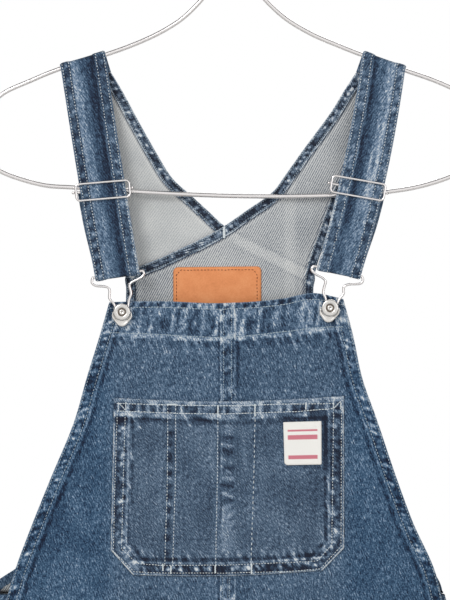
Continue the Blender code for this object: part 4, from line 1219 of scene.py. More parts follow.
def pocketPiece():
    x, z = pocketGrid()
    face = onFront(x, z, gap + 0.1 + cloth + pocketSlack(x, z))
    down = edgeDistance(x, z, x[0, ::4], z[0, ::4])[0]
    bounds = [(x[:, 0], z[:, 0]), (x[:, -1], z[:, -1]), (x[-1, ::3], z[-1, ::3])]
    found = [edgeDistance(x, z, edgeX, edgeZ) for edgeX, edgeZ in bounds]
    fromSide = np.minimum(found[0][0], found[1][0])
    alongSide = np.where(found[0][0] < found[1][0], found[0][1], found[1][1] + 400)
    fromBottom = found[2][0]
    height, shade = hemLook(fromSide, alongSide, 101, 12.6, 6.8, 1.4, (4.4, 12.3))
    lowerOn = ease(fromSide, 3, 9)
    lowHeight, lowShade = hemLook(fromBottom, found[2][1], 103, 10.4, 6.6, 1.8, (2.6, 9.7))
    sideShare = 1 - ease(fromBottom, 12, 4) * lowerOn
    height = height * sideShare + lowHeight * lowerOn
    shade = 0.5 + shade * sideShare + lowShade * lowerOn
    blocks = train(105, -220, 220, 7.6, 0.35, 0.27)(x + 0.1 * down)
    mouth = band(down, 5.0, 10.8, 0.8)
    lip = band(down, 0.8, 3.8, 0.8)
    under = band(down, 12.6, 15.2, 1.4)
    over = ease(down, 20, 13)
    keep = ease(down, 13.0, 16.5)
    shade = 0.5 + (shade - 0.5) * (0.25 + 0.75 * keep)
    height = height * (0.4 + 0.6 * keep)
    shade += mouth * (0.78 * blocks - 0.34 + 0.16 * mottle(x, z, 2.6, 110))
    shade += lip * (0.12 + 0.24 * mottle(x, z * 0.5, 4, 106))
    shade += 0.34 * bump(np.minimum(fromSide, fromBottom), 0.7, 0.9) * ease(down, 8, 14)
    shade += under * (0.14 + 0.3 * mottle(x, 0 * z, 7, 107)) + 0.25 * bump(down, 0.4, 0.9)
    # painted shadow under the mouth's hem: a dark band just below its pale lip
    shade -= 0.17 * band(down, 17.2, 19.5, 2.5) * ease(fromSide, 2, 5)
    height += mouth * (0.5 * blocks - 0.1) + 0.25 * lip + 0.3 * under
    height = height - 0.3 * bump(down, 4.4, 0.7) - 0.3 * bump(down, 11.4, 0.7)
    above = band(fromBottom, 11.5, 17, 4.5) * ease(fromSide, 11, 15)
    tucks = train(112, -300, 300, 6.6, 0.45, 0.24)(x + 0.32 * z + 170)
    shade += above * (0.42 * tucks - 0.13)
    height += above * (0.4 * tucks - 0.15)
    lines = creaseAndShadowLines(inFrame(pocketCreasesAndShadows), x, z)
    field = ease(fromSide, 12, 15) * ease(down, 12, 15)
    soft = 0.05 * mottle(x, z * 0.6, 13, 108) + 0.04 * mottle(x, z * 0.3, 5, 109)
    shade += 1.5 * lines + field * (soft - 0.07)
    height += lines * 1.6
    slotLine = pixelX(218.5) - 0.022 * (z + 500)
    shade += 0.26 * bump(x, slotLine + 2.0, 0.8) * over - 0.2 * bump(x, slotLine + 0.4, 0.6)
    shade += 0.2 * bump(x, slotLine + 2.0, 0.7) * (1 - over)
    height += 0.35 * bump(x, slotLine + 2.2, 1.2) - 0.35 * bump(x, slotLine + 0.2, 0.7)
    look = {"height": height * 0.8, "shade": shade, "tint": 0 * shade - 0.12}
    uv = 1.15 * np.stack([x + 0.24 * z, z - 0.24 * x], axis=2)
    piece = shell("pocket_cloth", face, cloth, look, towardsFront, (40, 60), (denim,), uv)
    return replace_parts(piece, "bib_pocket")


pocketCloth = pocketPiece()


# Leather patch and woven label

# A thin plate over the cloth from four corners in mm, upper left first and clockwise, with
# rounded corners.
def platePiece(name, node, corners, cell, offset, thickness, radii, shadeAt, materials, lift):
    (ax, az), (bx, bz), (cx, cz), (dx, dz) = corners
    columns = int((bx - ax) / cell) + 2
    rows = int((az - dz) / cell) + 2
    across = np.linspace(0, 1, columns)[None, :]
    down = np.linspace(0, 1, rows)[:, None]
    x = (ax + (bx - ax) * across) * (1 - down) + (dx + (cx - dx) * across) * down
    z = (az + (bz - az) * across) * (1 - down) + (dz + (cz - dz) * across) * down
    # rounded corners: points outside a corner's circle move onto it
    turns = ((1, -1), (-1, -1), (-1, 1), (1, 1))
    for (cornerX, cornerZ), radius, (turnX, turnZ) in zip(corners, radii, turns):
        centre = (cornerX + turnX * radius, cornerZ + turnZ * radius)
        inCorner = ((x - centre[0]) * turnX < 0) & ((z - centre[1]) * turnZ < 0)
        far = np.hypot(x - centre[0], z - centre[1])
        square = np.maximum(np.abs(x - centre[0]), np.abs(z - centre[1]))
        scale = np.where(inCorner, square / np.maximum(far, 1e-6), 1.0)
        x = centre[0] + (x - centre[0]) * scale
        z = centre[1] + (z - centre[1]) * scale
    fromEdge = np.minimum(np.minimum(across * (bx - ax), (1 - across) * (bx - ax)),
                          np.minimum(down * (az - dz), (1 - down) * (az - dz)))
    y = lift(x, z) - offset
    face = np.stack([x, y, z], axis=2)
    height = -0.55 * thickness * (1 - ease(fromEdge, -0.2, 1.0)) + 0.12 * mottle(x, z, 14, 111)
    look = {"height": height, "shade": shadeAt(x, fromEdge, down), "tint": 0 * x}
    uv = np.stack([x, z], axis=2)
    piece = shell(name, face, thickness, look, towardsFront, (5, 5), materials, uv)
    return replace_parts(piece, node)


patchCorners = ((-52.8, -367.0), (25.1, -366.2), (25.1, -424.0), (-52.8, -424.0))
patchOffset = yokeSpacing + cloth + gap + 1.6
patchPiece = platePiece("patch_leather", "leather_patch", patchCorners, 1.4, patchOffset, 1.6,
                        (4.0, 4.0, 3.0, 3.0), lambda x, edge, down: 0 * x + 0.5, (leather,),
                        lambda x, z: bySide(backFace, x, z))

labelRules = table(
    "place width",
    (0.2, 0.02),
    (0.36, 0.05),
    (0.82, 0.04),
)


def labelShade(x, fromEdge, down):
    shade = 0 * x + 0.78
    for rule in labelRules:
        shade -= 0.5 * ease(fromEdge, 3.0, 4.0) * (np.abs(down - rule["place"]) < rule["width"])
    return shade


labelCorners = ((44.2, -503.4), (77.9, -502.5), (78.0, -540.7), (45.3, -541.2))
labelOffset = 2 * gap + 0.2 + cloth + 1.0
labelPiece = platePiece("label_tape", "pocket_label", labelCorners, 0.6, labelOffset, 0.9,
                        (0.8, 0.8, 1.2, 3.0), labelShade, (labelTape,),
                        lambda x, z: onFront(x, z, pocketSlack(x, z))[..., 1])
print("straps, pocket, patch and label ready")


# Wire and metal

# A Catmull-Rom line through the points.
def smoothLoop(points, steps, closed=True):
    points = np.array(points, float)
    if not closed:
        places = np.linspace(0, len(points) - 1, (len(points) - 1) * steps + 1)
        return smoothRows(points, places)
    count = len(points)
    wrapped = np.concatenate([points[-2:], points, points[:3]])
    places = np.linspace(2, count + 2, count * steps, endpoint=False)
    return smoothRows(wrapped, places)


# Faces between rings of as many points each
def ringCells(rings, segments, closed=True):
    cells = []
    for i in range(rings if closed else rings - 1):
        here = i * segments
        there = (i + 1) % rings * segments
        for k in range(segments):
            after = (k + 1) % segments
            cells.append((here + k, here + after, there + after, there + k))
    return cells


# Points and faces of a round wire with rounded ends; the route is never parallel to across
def tubeMesh(route, radius, sides, closed, across):
    route = np.array(route, float)
    radii = np.full(len(route), float(radius))
    if closed:
        tangents = np.roll(route, -1, axis=0) - np.roll(route, 1, axis=0)
    else:
        ahead = (route[-1] - route[-2]) / np.linalg.norm(route[-1] - route[-2])
        behind = (route[0] - route[1]) / np.linalg.norm(route[0] - route[1])
        angles = np.radians([25, 50, 72])
        rise = (np.sin(angles)[:, None] - 1) * radius
        body = route.copy()
        body[0] -= radius * behind
        body[-1] -= radius * ahead
        route = np.concatenate([(route[0] + rise * behind)[::-1], body, route[-1] + rise * ahead])
        radii = np.concatenate([radius * np.cos(angles)[::-1], radii, radius * np.cos(angles)])
        tangents = np.gradient(route, axis=0)
    tangents /= np.linalg.norm(tangents, axis=1, keepdims=True)
    first = np.cross(tangents, across)
    first /= np.linalg.norm(first, axis=1, keepdims=True)
    second = np.cross(tangents, first)
    turn = np.linspace(0, 2 * math.pi, sides, endpoint=False)
    ring = first[:, None] * np.cos(turn)[None, :, None] + second[:, None] * np.sin(turn)[None, :, None]
    points = (route[:, None] + ring * radii[:, None, None]).reshape(-1, 3)
    cells = ringCells(len(route), sides, closed)
    if not closed:
        cells.append(tuple(reversed(range(sides))))
        cells.append(tuple(range((len(route) - 1) * sides, len(route) * sides)))
    return points, cells


# Turns a closed mesh's faces out, by its signed volume.
def outward(piece):
    mesh = piece.data
    mesh.calc_loop_triangles()
    corners = np.array([[mesh.vertices[i].co for i in triangle.vertices]
                        for triangle in mesh.loop_triangles])
    volume = np.einsum("ij,ij->i", corners[:, 0], np.cross(corners[:, 1], corners[:, 2])).sum()
    if volume < 0:
        mesh.flip_normals()
    return piece


def metalPiece(name, node, points, cells, material=chrome, slot="chrome"):
    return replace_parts(outward(finished(name, points, cells, (material,))), node)


def wirePiece(name, node, route, radius, sides=12, closed=True, across=(0, 1, 0)):
    metalPiece(name, node, *tubeMesh(route, radius, sides, closed, across))


hangerRoute = table(
    "x z",
    (0, -97), (7, -101), (22, -123), (44, -145), (68, -160), (92, -170.5), (114.4, -179.3),
    (152.2, -192.8), (181, -203), (205, -215), (218, -229), (222.6, -248), (218, -268), (205, -281),
    (175, -293), (139, -300), (85, -303.6), (0, -304), (-90, -300), (-139, -296.6), (-170, -293.9),
    (-205, -282.5), (-218, -269), (-222.6, -248), (-218, -229), (-203.5, -213.5), (-179.8, -202.4),
    (-152.2, -191.2), (-112.6, -179), (-84, -168.5), (-60, -157), (-40, -143), (-20, -121), (-7, -101),
)
hookOpening = 22.5
neckTop = -64.0
neckEnd = -94.7
collarHeight = 12.0

frameRoute = smoothLoop([(row["x"], 0, row["z"]) for row in hangerRoute], 7)
wirePiece("hanger_wire", "hanger_frame", frameRoute, wireRadius["hanger"], 14)
hookRoute = [(0, 0, neckEnd), (0, 0, (neckEnd + neckTop) / 2), (0, 0, neckTop), (1.6, 0, neckTop + 8),
             (6.5, 0, neckTop + 15), (12.5, 0, neckTop + 20)]
for step in range(14):
    angle = math.radians(-42 + step * 250 / 13)
    circle = hookOpening + wireRadius["hanger"]
    hookRoute.append((circle * math.cos(angle), 0, -hookOpening + circle * math.sin(angle)))
wirePiece("hook_wire", "hanger_hook", smoothLoop(hookRoute, 5, False), wireRadius["hanger"], 14, False)


# A turned button; pairs are radius and distance to the front, pole to pole
def turnedPiece(name, node, centre, profile, segments=40):
    x, y, z = centre
    turn = np.linspace(0, 2 * math.pi, segments, endpoint=False)
    points = [(x + radius * math.cos(angle), y - along, z + radius * math.sin(angle))
              for radius, along in profile[1:-1] for angle in turn]
    points += [(x, y - profile[0][1], z), (x, y - profile[-1][1], z)]
    bands = len(profile) - 2
    startPole = bands * segments
    lastRing = startPole - segments
    cells = ringCells(bands, segments, False)
    for k in range(segments):
        after = (k + 1) % segments
        cells += [(startPole, after, k), (startPole + 1, lastRing + k, lastRing + after)]
    return metalPiece(name, node, points, cells, buttonMetal, "button_metal")


# An upright sleeve round the hook's wire, rounded at both ends
def collarPiece(outer, inner, low, high, segments=28):
    middle = (outer + inner) / 2
    half = (outer - inner) / 2
    outline = []
    for start, centre in ((0, high - half), (180, low + half)):
        for step in range(9):
            angle = math.radians(start + step * 22.5)
            outline.append((middle + half * math.cos(angle), centre + half * math.sin(angle)))
    turn = np.linspace(0, 2 * math.pi, segments, endpoint=False)
    points = [(radius * math.cos(angle), radius * math.sin(angle), height)
              for radius, height in outline for angle in turn]
    metalPiece("hook_collar", "hanger_collar", points, ringCells(len(outline), segments))


collarPiece(3.6, wireRadius["hanger"] + gap, neckEnd + 0.5, neckEnd + 0.5 + collarHeight)


def tilted(side, points):
    place = sliders[side]
    turn = math.radians(place["tilt"])
    return [(place["x"] + x * math.cos(turn) - z * math.sin(turn), y,
             place["z"] + x * math.sin(turn) + z * math.cos(turn)) for x, y, z in points]


# A wire frame with rounded corners, and the bent bar that the strap runs over
def sliderPieces(side):
    half = slider["width"] / 2
    tall = slider["height"] / 2
    corner = slider["corner"]
    y = slider["y"]
    signs = ((1, 1), (-1, 1), (-1, -1), (1, -1))

    def cornerPoint(quarter, angle):
        signX, signZ = signs[quarter % 4]
        return (signX * (half - corner) + corner * math.cos(angle), y,
                signZ * (tall - corner) + corner * math.sin(angle))

    route = []
    for quarter in range(4):
        route += [cornerPoint(quarter, math.pi / 2 * (quarter + step / 6)) for step in range(7)]
        last = np.array(route[-1])
        goal = np.array(cornerPoint(quarter + 1, math.pi / 2 * (quarter + 1)))
        route += [tuple(last + (goal - last) * share) for share in (0.25, 0.5, 0.75)]
    name = sideNames[side]
    wirePiece("slider_wire_" + name, "slider_frame_" + name, tilted(side, route), wireRadius["slider"])
    barY = y + wireRadius["slider"] + 2 * gap + strapCloth + wireRadius["bar"]
    end = half + wireRadius["slider"] + wireRadius["bar"] + gap
    rightEnd = [(end / 2, barY, 0), (end - 1.8, barY, 0), (end - 0.5, barY - 0.9, 0), (end, y + 1.6, 0),
                (end, y - 0.6, 0)]
    route = [(-x, depth, z) for x, depth, z in reversed(rightEnd)] + [(0, barY, 0)] + rightEnd
    wirePiece("slider_rod_" + name, "slider_bar_" + name, smoothLoop(tilted(side, route), 4, False),
              wireRadius["bar"], closed=False, across=(0, 0, 1))


buttons = {left: (-97.7, -406.6), right: (85.4, -403.0)}
buttonRadius = 7.6
shank = 2.6
buckleRoute = table(
    "leftX leftZ rightX rightZ",
    (-23.8, 30.2, -11.6, 36.5),
    (-6.0, 32.8, 6.0, 32.7),
    (14.8, 35.9, 25.8, 28.5),
    (18.2, 36.3, 28.4, 27.0),
    (19.2, 33.6, 28.9, 24.2),
    (16.6, 30.4, 26.6, 21.4),
    (9.6, 26.9, 17.0, 20.8),
    (6.6, 23.6, 12.3, 18.4),
    (8.0, 16.4, 11.9, 12.6),
    (6.0, 9.6, 8.2, 7.4),
    (5.0, 1.0, 5.2, 0.0),
    (4.4, -5.0, 4.4, -5.6),
    (0.0, -8.2, 0.0, -8.8),
    (-4.4, -5.0, -4.4, -5.6),
    (-5.0, 1.0, -5.2, 0.0),
    (-7.3, 7.4, -3.6, 7.6),
    (-11.0, 12.0, -5.8, 13.0),
    (-11.0, 19.0, -5.0, 18.4),
    (-13.4, 22.1, -3.8, 23.2),
    (-22.6, 23.1, -6.2, 26.4),
    (-26.2, 25.4, -13.2, 30.4),
    (-26.4, 28.4, -16.0, 33.6),
    (-25.6, 30.2, -14.8, 36.4),
)
plateThickness = 1.0
plateOutline = table(
    "x z",
    (0.0, 7.2),
    (3.0, 6.6),
    (5.6, 4.6),
    (7.2, 1.6),
    (8.5, -1.0),
    (8.9, -3.4),
    (8.3, -5.8),
    (6.6, -7.8),
    (5.0, -9.9),
    (2.8, -12.0),
    (0.0, -12.8),
)


# The wire loop, the plate with rolled edges behind it, and the button; the right plate is askew
def bucklePieces(side):
    name = sideNames[side]
    x, z = buttons[side]
    points = [(x + row[name + "X"], buckleY, z + row[name + "Z"]) for row in buckleRoute]
    wirePiece("buckle_loop_" + name, "buckle_wire_" + name, smoothLoop(points, 6), wireRadius["buckle"])
    rightHalf = [(row["x"], 0, row["z"]) for row in plateOutline]
    outline = smoothLoop(rightHalf + [(-wide, 0, tall) for wide, depth, tall in rightHalf[-2:0:-1]], 3)
    skew = 0.11 if side == right else 0.0
    inner = shank + 0.6
    backY = buckleY - wireRadius["buckle"] - gap
    # share of the outline, share of the hole's circle, depth in thicknesses
    rings = ((1.0, 0.0, 0.2), (1.0, 0.0, 0.7), (0.965, 0.0, 1.0), (0.88, 0.0, 0.95), (0.82, 0.0, 0.7),
             (0.5, 0.5, 0.7), (0.0, 1.0, 0.7), (0.0, 1.0, 0.0), (0.965, 0.0, 0.0))
    points = []
    for share, holeShare, along in rings:
        for wide, depth, tall in outline:
            turn = math.atan2(tall, wide)
            ringX = (wide + skew * min(tall, 0)) * share + inner * holeShare * math.cos(turn)
            ringZ = tall * share + inner * holeShare * math.sin(turn)
            points.append((x + ringX, backY - along * plateThickness, z + ringZ))
    metalPiece("buckle_tongue_" + name, "buckle_plate_" + name, points,
               ringCells(len(rings), len(outline)), buttonMetal, "button_metal")
    face = float(frontFace(side, np.array(x), np.array(z)))
    buttonPiece("bib_stud_" + name, "bib_button_" + name, x, face, z, face - (backY - plateThickness))


# A tack button: rolled rim, a broad flat ring, a dark groove of oxide and a small boss; the cap's
# underside and the shank take the same dark metal as painted shade.
def buttonPiece(name, node, x, y, z, neck):
    cap = neck + gap
    profile = [(0, cap + 2.5), (0.6, cap + 2.55), (1.1, cap + 2.9), (1.7, cap + 3.1), (2.3, cap + 2.9),
               (2.7, cap + 2.3), (3.1, cap + 2.2), (3.5, cap + 2.6), (3.9, cap + 3.15), (4.6, cap + 3.3),
               (5.6, cap + 3.35), (6.4, cap + 3.3), (6.9, cap + 3.15), (7.3, cap + 2.8),
               (buttonRadius, cap + 2.1), (buttonRadius, cap + 1.4), (buttonRadius - 0.35, cap + 0.6),
               (6.6, cap + 0.25), (shank, cap), (shank, gap), (0, gap)]
    piece = turnedPiece(name, node, (x, y, z), profile)
    piece.data.materials.append(oxideAndUnderShade)
    for polygon in piece.data.polygons:
        centre = polygon.center / mm
        far = math.hypot(centre.x - x, centre.z - z)
        front = y - centre.y > cap + 1.6
        # oxide in the groove and the centre dot; painted shade on the cap's underside and the shank
        if (2.45 < far < 3.6 or far < 0.7) and front or not front and y - centre.y < cap + 0.4:
            polygon.material_index = 1


def sideButtons(side):
    for number, z in enumerate((-700.0, -770.0)):
        x = centreX + side * (float(frontEdgeAt[side](z)) - 12.0)
        y = float(frontFace(side, np.array(x), np.array(z))) - 0.5
        label = "%s_%d" % (sideNames[side], number + 1)
        buttonPiece("side_stud_" + label, "side_button_" + label, x, y, z, 1.0)


for side in (left, right):
    sliderPieces(side)
    bucklePieces(side)
    sideButtons(side)
print("metal ready")


# Stitches: Geometry Nodes lay one small thread after another along each line

def stitchTree():
    tree = bpy.data.node_groups.new("stitches along lines", "GeometryNodeTree")
    face = tree.interface
    face.new_socket("Lines", in_out="INPUT", socket_type="NodeSocketGeometry")
    for name, kind in (("Pitch", "Float"), ("Half length", "Float"), ("Radius", "Float"), ("Seed", "Int"),
                       ("Thread", "Material")):
        face.new_socket(name, in_out="INPUT", socket_type="NodeSocket" + kind)
    face.new_socket("Stitches", in_out="OUTPUT", socket_type="NodeSocketGeometry")
    given = add(tree, "NodeGroupInput").outputs
    curve = add(tree, "GeometryNodeMeshToCurve", in0=given["Lines"])
    places = add(tree, "GeometryNodeCurveToPoints", {"mode": "LENGTH"}, in0=curve.outputs[0],
                 Length=given["Pitch"])
    size = add(tree, "ShaderNodeCombineXYZ", X=given["Radius"], Y=given["Radius"], Z=given["Half length"])
    uneven = add(tree, "FunctionNodeRandomValue", {"data_type": "FLOAT_VECTOR"}, in0=(0.85, 0.85, 0.8),
                 in1=(1.1, 1.1, 1.12), Seed=given["Seed"])
    scaled = add(tree, "ShaderNodeVectorMath", {"operation": "MULTIPLY"}, in0=size.outputs[0],
                 in1=uneven.outputs[0])
    wander = add(tree, "FunctionNodeRandomValue", {"data_type": "FLOAT_VECTOR"},
                 in0=(-0.00014, -0.00004, -0.00014), in1=(0.00014, 0.00004, 0.00014), Seed=given["Seed"])
    moved = add(tree, "GeometryNodeSetPosition", Geometry=places.outputs["Points"],
                Offset=wander.outputs[0])
    turned = add(tree, "FunctionNodeAlignRotationToVector", {"axis": "Z"},
                 Vector=places.outputs["Tangent"])
    stitch = add(tree, "GeometryNodeMeshUVSphere", Segments=6, Rings=4, Radius=1.0)
    laid = add(tree, "GeometryNodeInstanceOnPoints", Points=moved.outputs[0], Instance=stitch.outputs[0],
               Rotation=turned.outputs[0], Scale=scaled.outputs[0])
    smooth = add(tree, "GeometryNodeSetShadeSmooth", in0=laid.outputs[0])
    real = add(tree, "GeometryNodeRealizeInstances", in0=smooth.outputs[0])
    dyed = add(tree, "GeometryNodeSetMaterial", Geometry=real.outputs[0], Material=given["Thread"])
    add(tree, "NodeGroupOutput", Stitches=dyed.outputs[0])
    return tree


stitching = stitchTree()
threadLift = 0.12
rayStart = 300


# One mesh of stitches; a group is a pitch, a stitch's share of it, its radius and its lines.
def stitchPiece(name, groups, material, seed):
    meshes = []
    for pitch, share, radius, lines in groups:
        points = []
        edges = []
        for line in lines:
            start = len(points)
            points += (np.asarray(line) * mm).tolist()
            edges += [(start + i, start + i + 1) for i in range(len(line) - 1)]
        carrierMesh = bpy.data.meshes.new(name)
        carrierMesh.from_pydata(points, edges, [])
        carrier = placed(name, carrierMesh)
        modifier = carrier.modifiers.new("stitches", "NODES")
        modifier.node_group = stitching
        values = {"Pitch": pitch * mm, "Half length": pitch * share * mm / 2, "Radius": radius * mm,
                  "Seed": seed, "Thread": material}
        for item in stitching.interface.items_tree:
            if item.name in values:
                modifier[item.identifier] = values[item.name]
        graph = bpy.context.evaluated_depsgraph_get()
        meshes.append(bpy.data.meshes.new_from_object(carrier.evaluated_get(graph)))
        bpy.data.objects.remove(carrier)
    piece = placed(name, meshes[0])
    if len(meshes) > 1:
        joined = bmesh.new()
        for mesh in meshes:
            joined.from_mesh(mesh)
        joined.to_mesh(piece.data)
        joined.free()
    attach(piece, "root")
    print(name, len(piece.data.polygons), "faces")
    return piece


def treeOf(*pieces):
    trees = []
    for piece in pieces:
        points = [vertex.co[:] for vertex in piece.data.vertices]
        faces = [polygon.vertices[:] for polygon in piece.data.polygons]
        trees.append(BVHTree.FromPolygons(points, faces))
    return trees


# More points along a line of (x, z) pairs.
def dense(line, step=1.2):
    line = np.asarray(line, float)
    length = np.concatenate([[0], np.cumsum(np.linalg.norm(np.diff(line, axis=0), axis=1))])
    wanted = np.linspace(0, length[-1], max(int(length[-1] / step), 1) + 1)
    return np.stack([np.interp(wanted, length, line[:, i]) for i in range(line.shape[1])], axis=1)


# The (x, z) line dropped along Y onto the first of the trees that it meets; way is 1 to come
# from the front and -1 from the back.
def laid(trees, line, way):
    points = []
    for x, z in dense(line):
        start = Vector((x, -way * rayStart, z)) * mm
        hits = [tree.ray_cast(start, Vector((0, way, 0)))[0] for tree in trees]
        depths = [hit.y / mm * way for hit in hits if hit is not None]
        if depths:
            points.append((x, way * (min(depths) - threadLift), z))
    return points


# A line moved sideways by a distance; positive is to the left of its run.
def beside(x, z, distance):
    runX = np.gradient(x)
    runZ = np.gradient(z)
    size = np.hypot(runX, runZ)
    return np.stack([x - runZ / size * distance, z + runX / size * distance], axis=1)


def inPixels(*pairs):
    return [(pixelX(px), pixelZ(py)) for px, py in pairs]


# The hem's row of stitches at the foot of a leg
def legRow(side):
    z = legEnd + legHem
    near = centreX + side * (float(inseamAt(z)) + 5)
    far = centreX + side * (float(foldAt[side](z)) - 4)
    return [(near, z), (far, z)]


# Kinds of stitch: pitch, the stitch's share of it, and its radius
plain = (2.9, 0.72, 0.36)
finer = (2.2, 0.72, 0.32)
close = (2.6, 0.92, 0.42)
tack = (0.75, 1.7, 0.78)
frontTrees = treeOf(fronts[left], fronts[right])
pocketTrees = treeOf(pocketCloth)
yokeTrees = treeOf(innerYokePiece, outerYokePiece)
backTrees = treeOf(backs[left], backs[right])

# Bib, legs and centre seam
frontLines = []
frontTacks = []
topLines = []
seamLines = []
for side in (left, right):
    z = np.arange(openingEnd - 2, bibTop - 0.5, 2.0)
    x = centreX + side * frontEdgeAt[side](z)
    frontLines += [laid(frontTrees, beside(x, z, side * row), 1) for row in hemRows]
    end = centreX + side * float(frontEdgeAt[side](openingEnd))
    for drop in (0.0, 1.3):
        frontTacks.append(laid(frontTrees, [(end - side * 1.0, openingEnd - drop),
                                            (end - side * 10.0, openingEnd - drop)], 1))
    frontLines.append(laid(frontTrees, legRow(side), 1))
ends = [centreX + side * (float(frontEdgeAt[side](bibTop)) - 1.5) for side in (left, right)]
x = np.linspace(*ends, 90)
for depth in (5.4 + 0 * x, bibHemAt(x)):
    z = bibTop - depth
    topLines.append(laid(frontTrees, np.stack([x, z + bibShift(x, z)], axis=1), 1))
for high, low in ((-8.3, -8.98), (-1.2, -3.0)):
    line = [(high, bibTop - 3), (high, -478), (low, -650), (low, crotch + 6)]
    seamLines.append(laid(frontTrees, line, 1))
stitchPiece("front_stitches", [(*plain, frontLines), (*close, topLines), (*finer, seamLines)],
            rubbedThread, 7)
stitchPiece("opening_tacks", [(*tack, frontTacks)], thread, 8)

# Bib pocket
outerRow = inPixels((117.3, 412), (116, 450), (114.5, 500), (113.5, 551), (134.4, 571.5), (160, 572.5),
                    (225, 572.5), (290, 571), (320, 568.5), (341, 546), (341.6, 404))
innerRow = inPixels((125.4, 412), (124.2, 450), (122.8, 500), (121.8, 549), (137.5, 563), (160, 565),
                    (225, 564.6), (309.8, 561.2), (318.3, 560), (331.7, 544.2), (333.8, 404))
mouthRows = [inPixels((117.8, 403.4), (175.4, 405.2), (235, 405.8), (279.5, 404.2), (332.9, 403.6)),
             inPixels((117.8, 411), (179.8, 413.4), (225, 413.9), (297.7, 411.5), (331.7, 408.7))]
slotRows = [inPixels((164.9, 563.5), (167.5, 480), (167.8, 404.6), (175.6, 404.6), (175.6, 480),
                     (172.7, 564.5)),
            inPixels((218, 406), (217.4, 480), (215.6, 565))]
cornerRows = [inPixels((118.4, 410.4), (118.4, 402.5), (125.8, 410.4), (125.8, 402.5)),
              inPixels((333.5, 401), (333.5, 408.7), (340.8, 401), (340.8, 408.5))]
longRow = inPixels((255.3, 405), (254, 470), (251, 564))
pocketTackRows = [inPixels((218, 405.6), (218, 416.8)), inPixels((215.3, 565), (215.3, 572)),
                  inPixels((255, 404.2), (255, 415.8)), inPixels((251.5, 563.6), (251.5, 573)),
                  inPixels((163, 564), (163, 570)), inPixels((171, 566), (171, 573)),
                  inPixels((306, 403), (306, 409)), inPixels((167.5, 404.4), (175.8, 404.4))]


def onPocket(rows):
    return [laid(pocketTrees, row, 1) for row in rows]


pocketGroups = [(2.55, 0.7, 0.36, onPocket([outerRow, innerRow])), (*close, onPocket(mouthRows)),
                (*plain, onPocket(slotRows)), (1.5, 1.1, 0.5, onPocket(cornerRows)),
                (4.4, 0.62, 0.4, onPocket([longRow])), (*tack, onPocket(pocketTackRows))]
stitchPiece("pocket_stitches", pocketGroups, thread, 11)

# Crossed yokes, on both faces, and the tack at the bottom of the neck
yokeLines = []
kept = slice(12, 187)
for tree, edges, sign in zip(yokeTrees, (innerYokeEdges, outerYokeEdges), (right, left)):
    for key, inwards in (("neck", 1), ("arm", -1)):
        for distance in yokeRowsAt:
            row = beside(edges[key + "X"][kept], edges[key + "Z"][kept], distance * inwards * sign)
            yokeLines += [laid([tree], row, way) for way in (1, -1)]
yokeTack = [laid(yokeTrees, inPixels((px, 227), (px, 237)), 1) for px in (223.6, 224.6)]
stitchPiece("yoke_stitches", [(*finer, yokeLines)], rubbedThread, 13)
stitchPiece("neck_tack", [(*tack, yokeTack)], thread, 14)

# Straps and the back's side wings

def landed(piece, lines):
    tree = treeOf(piece)[0]
    found = [[tree.find_nearest(Vector(point) * mm)[:2] for point in line.tolist()] for line in lines]
    return [[spot / mm + normal * threadLift for spot, normal in line] for line in found]


strapStitches = []
for side in (left, right):
    strapStitches += landed(strapPieces[side], strapLines[side])
stitchPiece("strap_stitches", [(2.7, 0.6, 0.4, strapStitches)], thread, 15)

# Back
backLines = []
for drop in (2.0, 9.2):
    z = waist - drop
    ends = [(centreX + side * (float(wingAt[side](z)) - 2), z) for side in (left, right)]
    backLines.append(laid(backTrees, ends, -1))
for x in (centreX - 3.6, centreX + 3.6):
    backLines.append(laid(backTrees, [(x, -612), (x, crotch + 6)], -1))
for side in (left, right):
    backLines.append(laid(backTrees, legRow(side), -1))
    backLines += landed(backs[side], wingRows[side])
stitchPiece("back_stitches", [(*plain, backLines)], rubbedThread, 17)

# Border of the patch, sewn in brown
patchTrees = treeOf(patchPiece)
patchRow = [(-49.9, -374.0), (-46.2, -369.6), (18.4, -369.2), (21.4, -373.4), (21.4, -421.2),
            (-49.9, -421.2), (-49.9, -374.0)]
stitchPiece("patch_stitches", [(3.0, 0.68, 0.4, [laid(patchTrees, patchRow, 1)])], brownThread, 19)
drawn = [piece for piece in bpy.data.objects if piece.type == "MESH" and not piece.hide_render]
counts = [sum(len(polygon.vertices) - 2 for polygon in piece.data.polygons) for piece in drawn]
print("triangles", sum(counts), "most in a piece", max(counts))
print("stitches ready")


# Studio

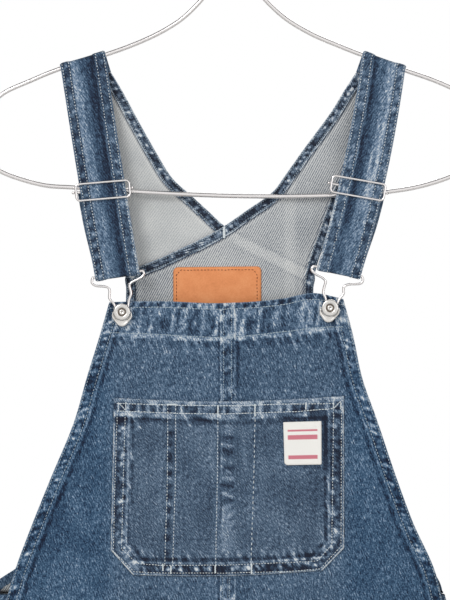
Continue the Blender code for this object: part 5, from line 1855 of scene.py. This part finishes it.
floorMesh = bpy.data.meshes.new("floor")
floorMesh.from_pydata([(-3, -3, -1.7), (3, -3, -1.7), (3, 3, -1.7), (-3, 3, -1.7)], [], [(0, 1, 2, 3)])
floorMaterial, tree, floorShader = newMaterial("pale floor")
floorShader.inputs["Base Color"].default_value = tone("#e9e9e7")
floorShader.inputs["Roughness"].default_value = 0.8
floorMesh.materials.append(floorMaterial)
placed("floor", floorMesh)


def softLight(name, place, target, size, power):
    lamp = bpy.data.lights.new(name, "AREA")
    lamp.shape = "RECTANGLE"
    lamp.size, lamp.size_y = size
    lamp.energy = power
    holder = placed(name, lamp)
    holder.location = place
    holder.rotation_mode = "QUATERNION"
    holder.rotation_quaternion = (Vector(target) - Vector(place)).to_track_quat("-Z", "Y")


softLight("key light", (-1.3, -2.2, 0.9), (0, 0, -0.5), (1.0, 1.0), 26)
softLight("fill light", (1.8, -2.4, 0.0), (0, 0, -0.6), (1.6, 1.6), 9)
softLight("rear light", (0.8, 2.4, 0.8), (0, 0, -0.8), (1.6, 1.6), 22)

# The backdrop and the room behind the camera are bright and what lies to the sides is dimmer:
# this gives the wire its thin grey outlines
world = bpy.data.worlds.new("studio")
bpy.context.scene.world = world
world.use_nodes = True
worldTree = world.node_tree
direction = add(worldTree, "ShaderNodeTexCoord").outputs["Generated"]
parts = add(worldTree, "ShaderNodeSeparateXYZ", in0=direction).outputs
frontToBack = mathNode(worldTree, "MULTIPLY_ADD", parts["Y"], 0.5, 0.5)
skyTones = ((0.0, "#f4f4f4"), (0.26, "#eaeaea"), (0.36, "#5c5c5c"), (0.5, "#3c3c3c"), (0.7, "#606060"),
            (0.86, "#ffffff"))
sky = ramp(worldTree, frontToBack, skyTones)
worldTree.links.new(sky, worldTree.nodes["Background"].inputs["Color"])

cameraData = bpy.data.cameras.new("camera")
cameraData.lens = 204.5
camera = placed("camera", cameraData)
camera.location = (-0.007, -3.015, -0.396)
camera.rotation_euler = (math.pi / 2, 0, 0)
bpy.context.scene.camera = camera
bpy.context.scene.view_settings.view_transform = "Standard"
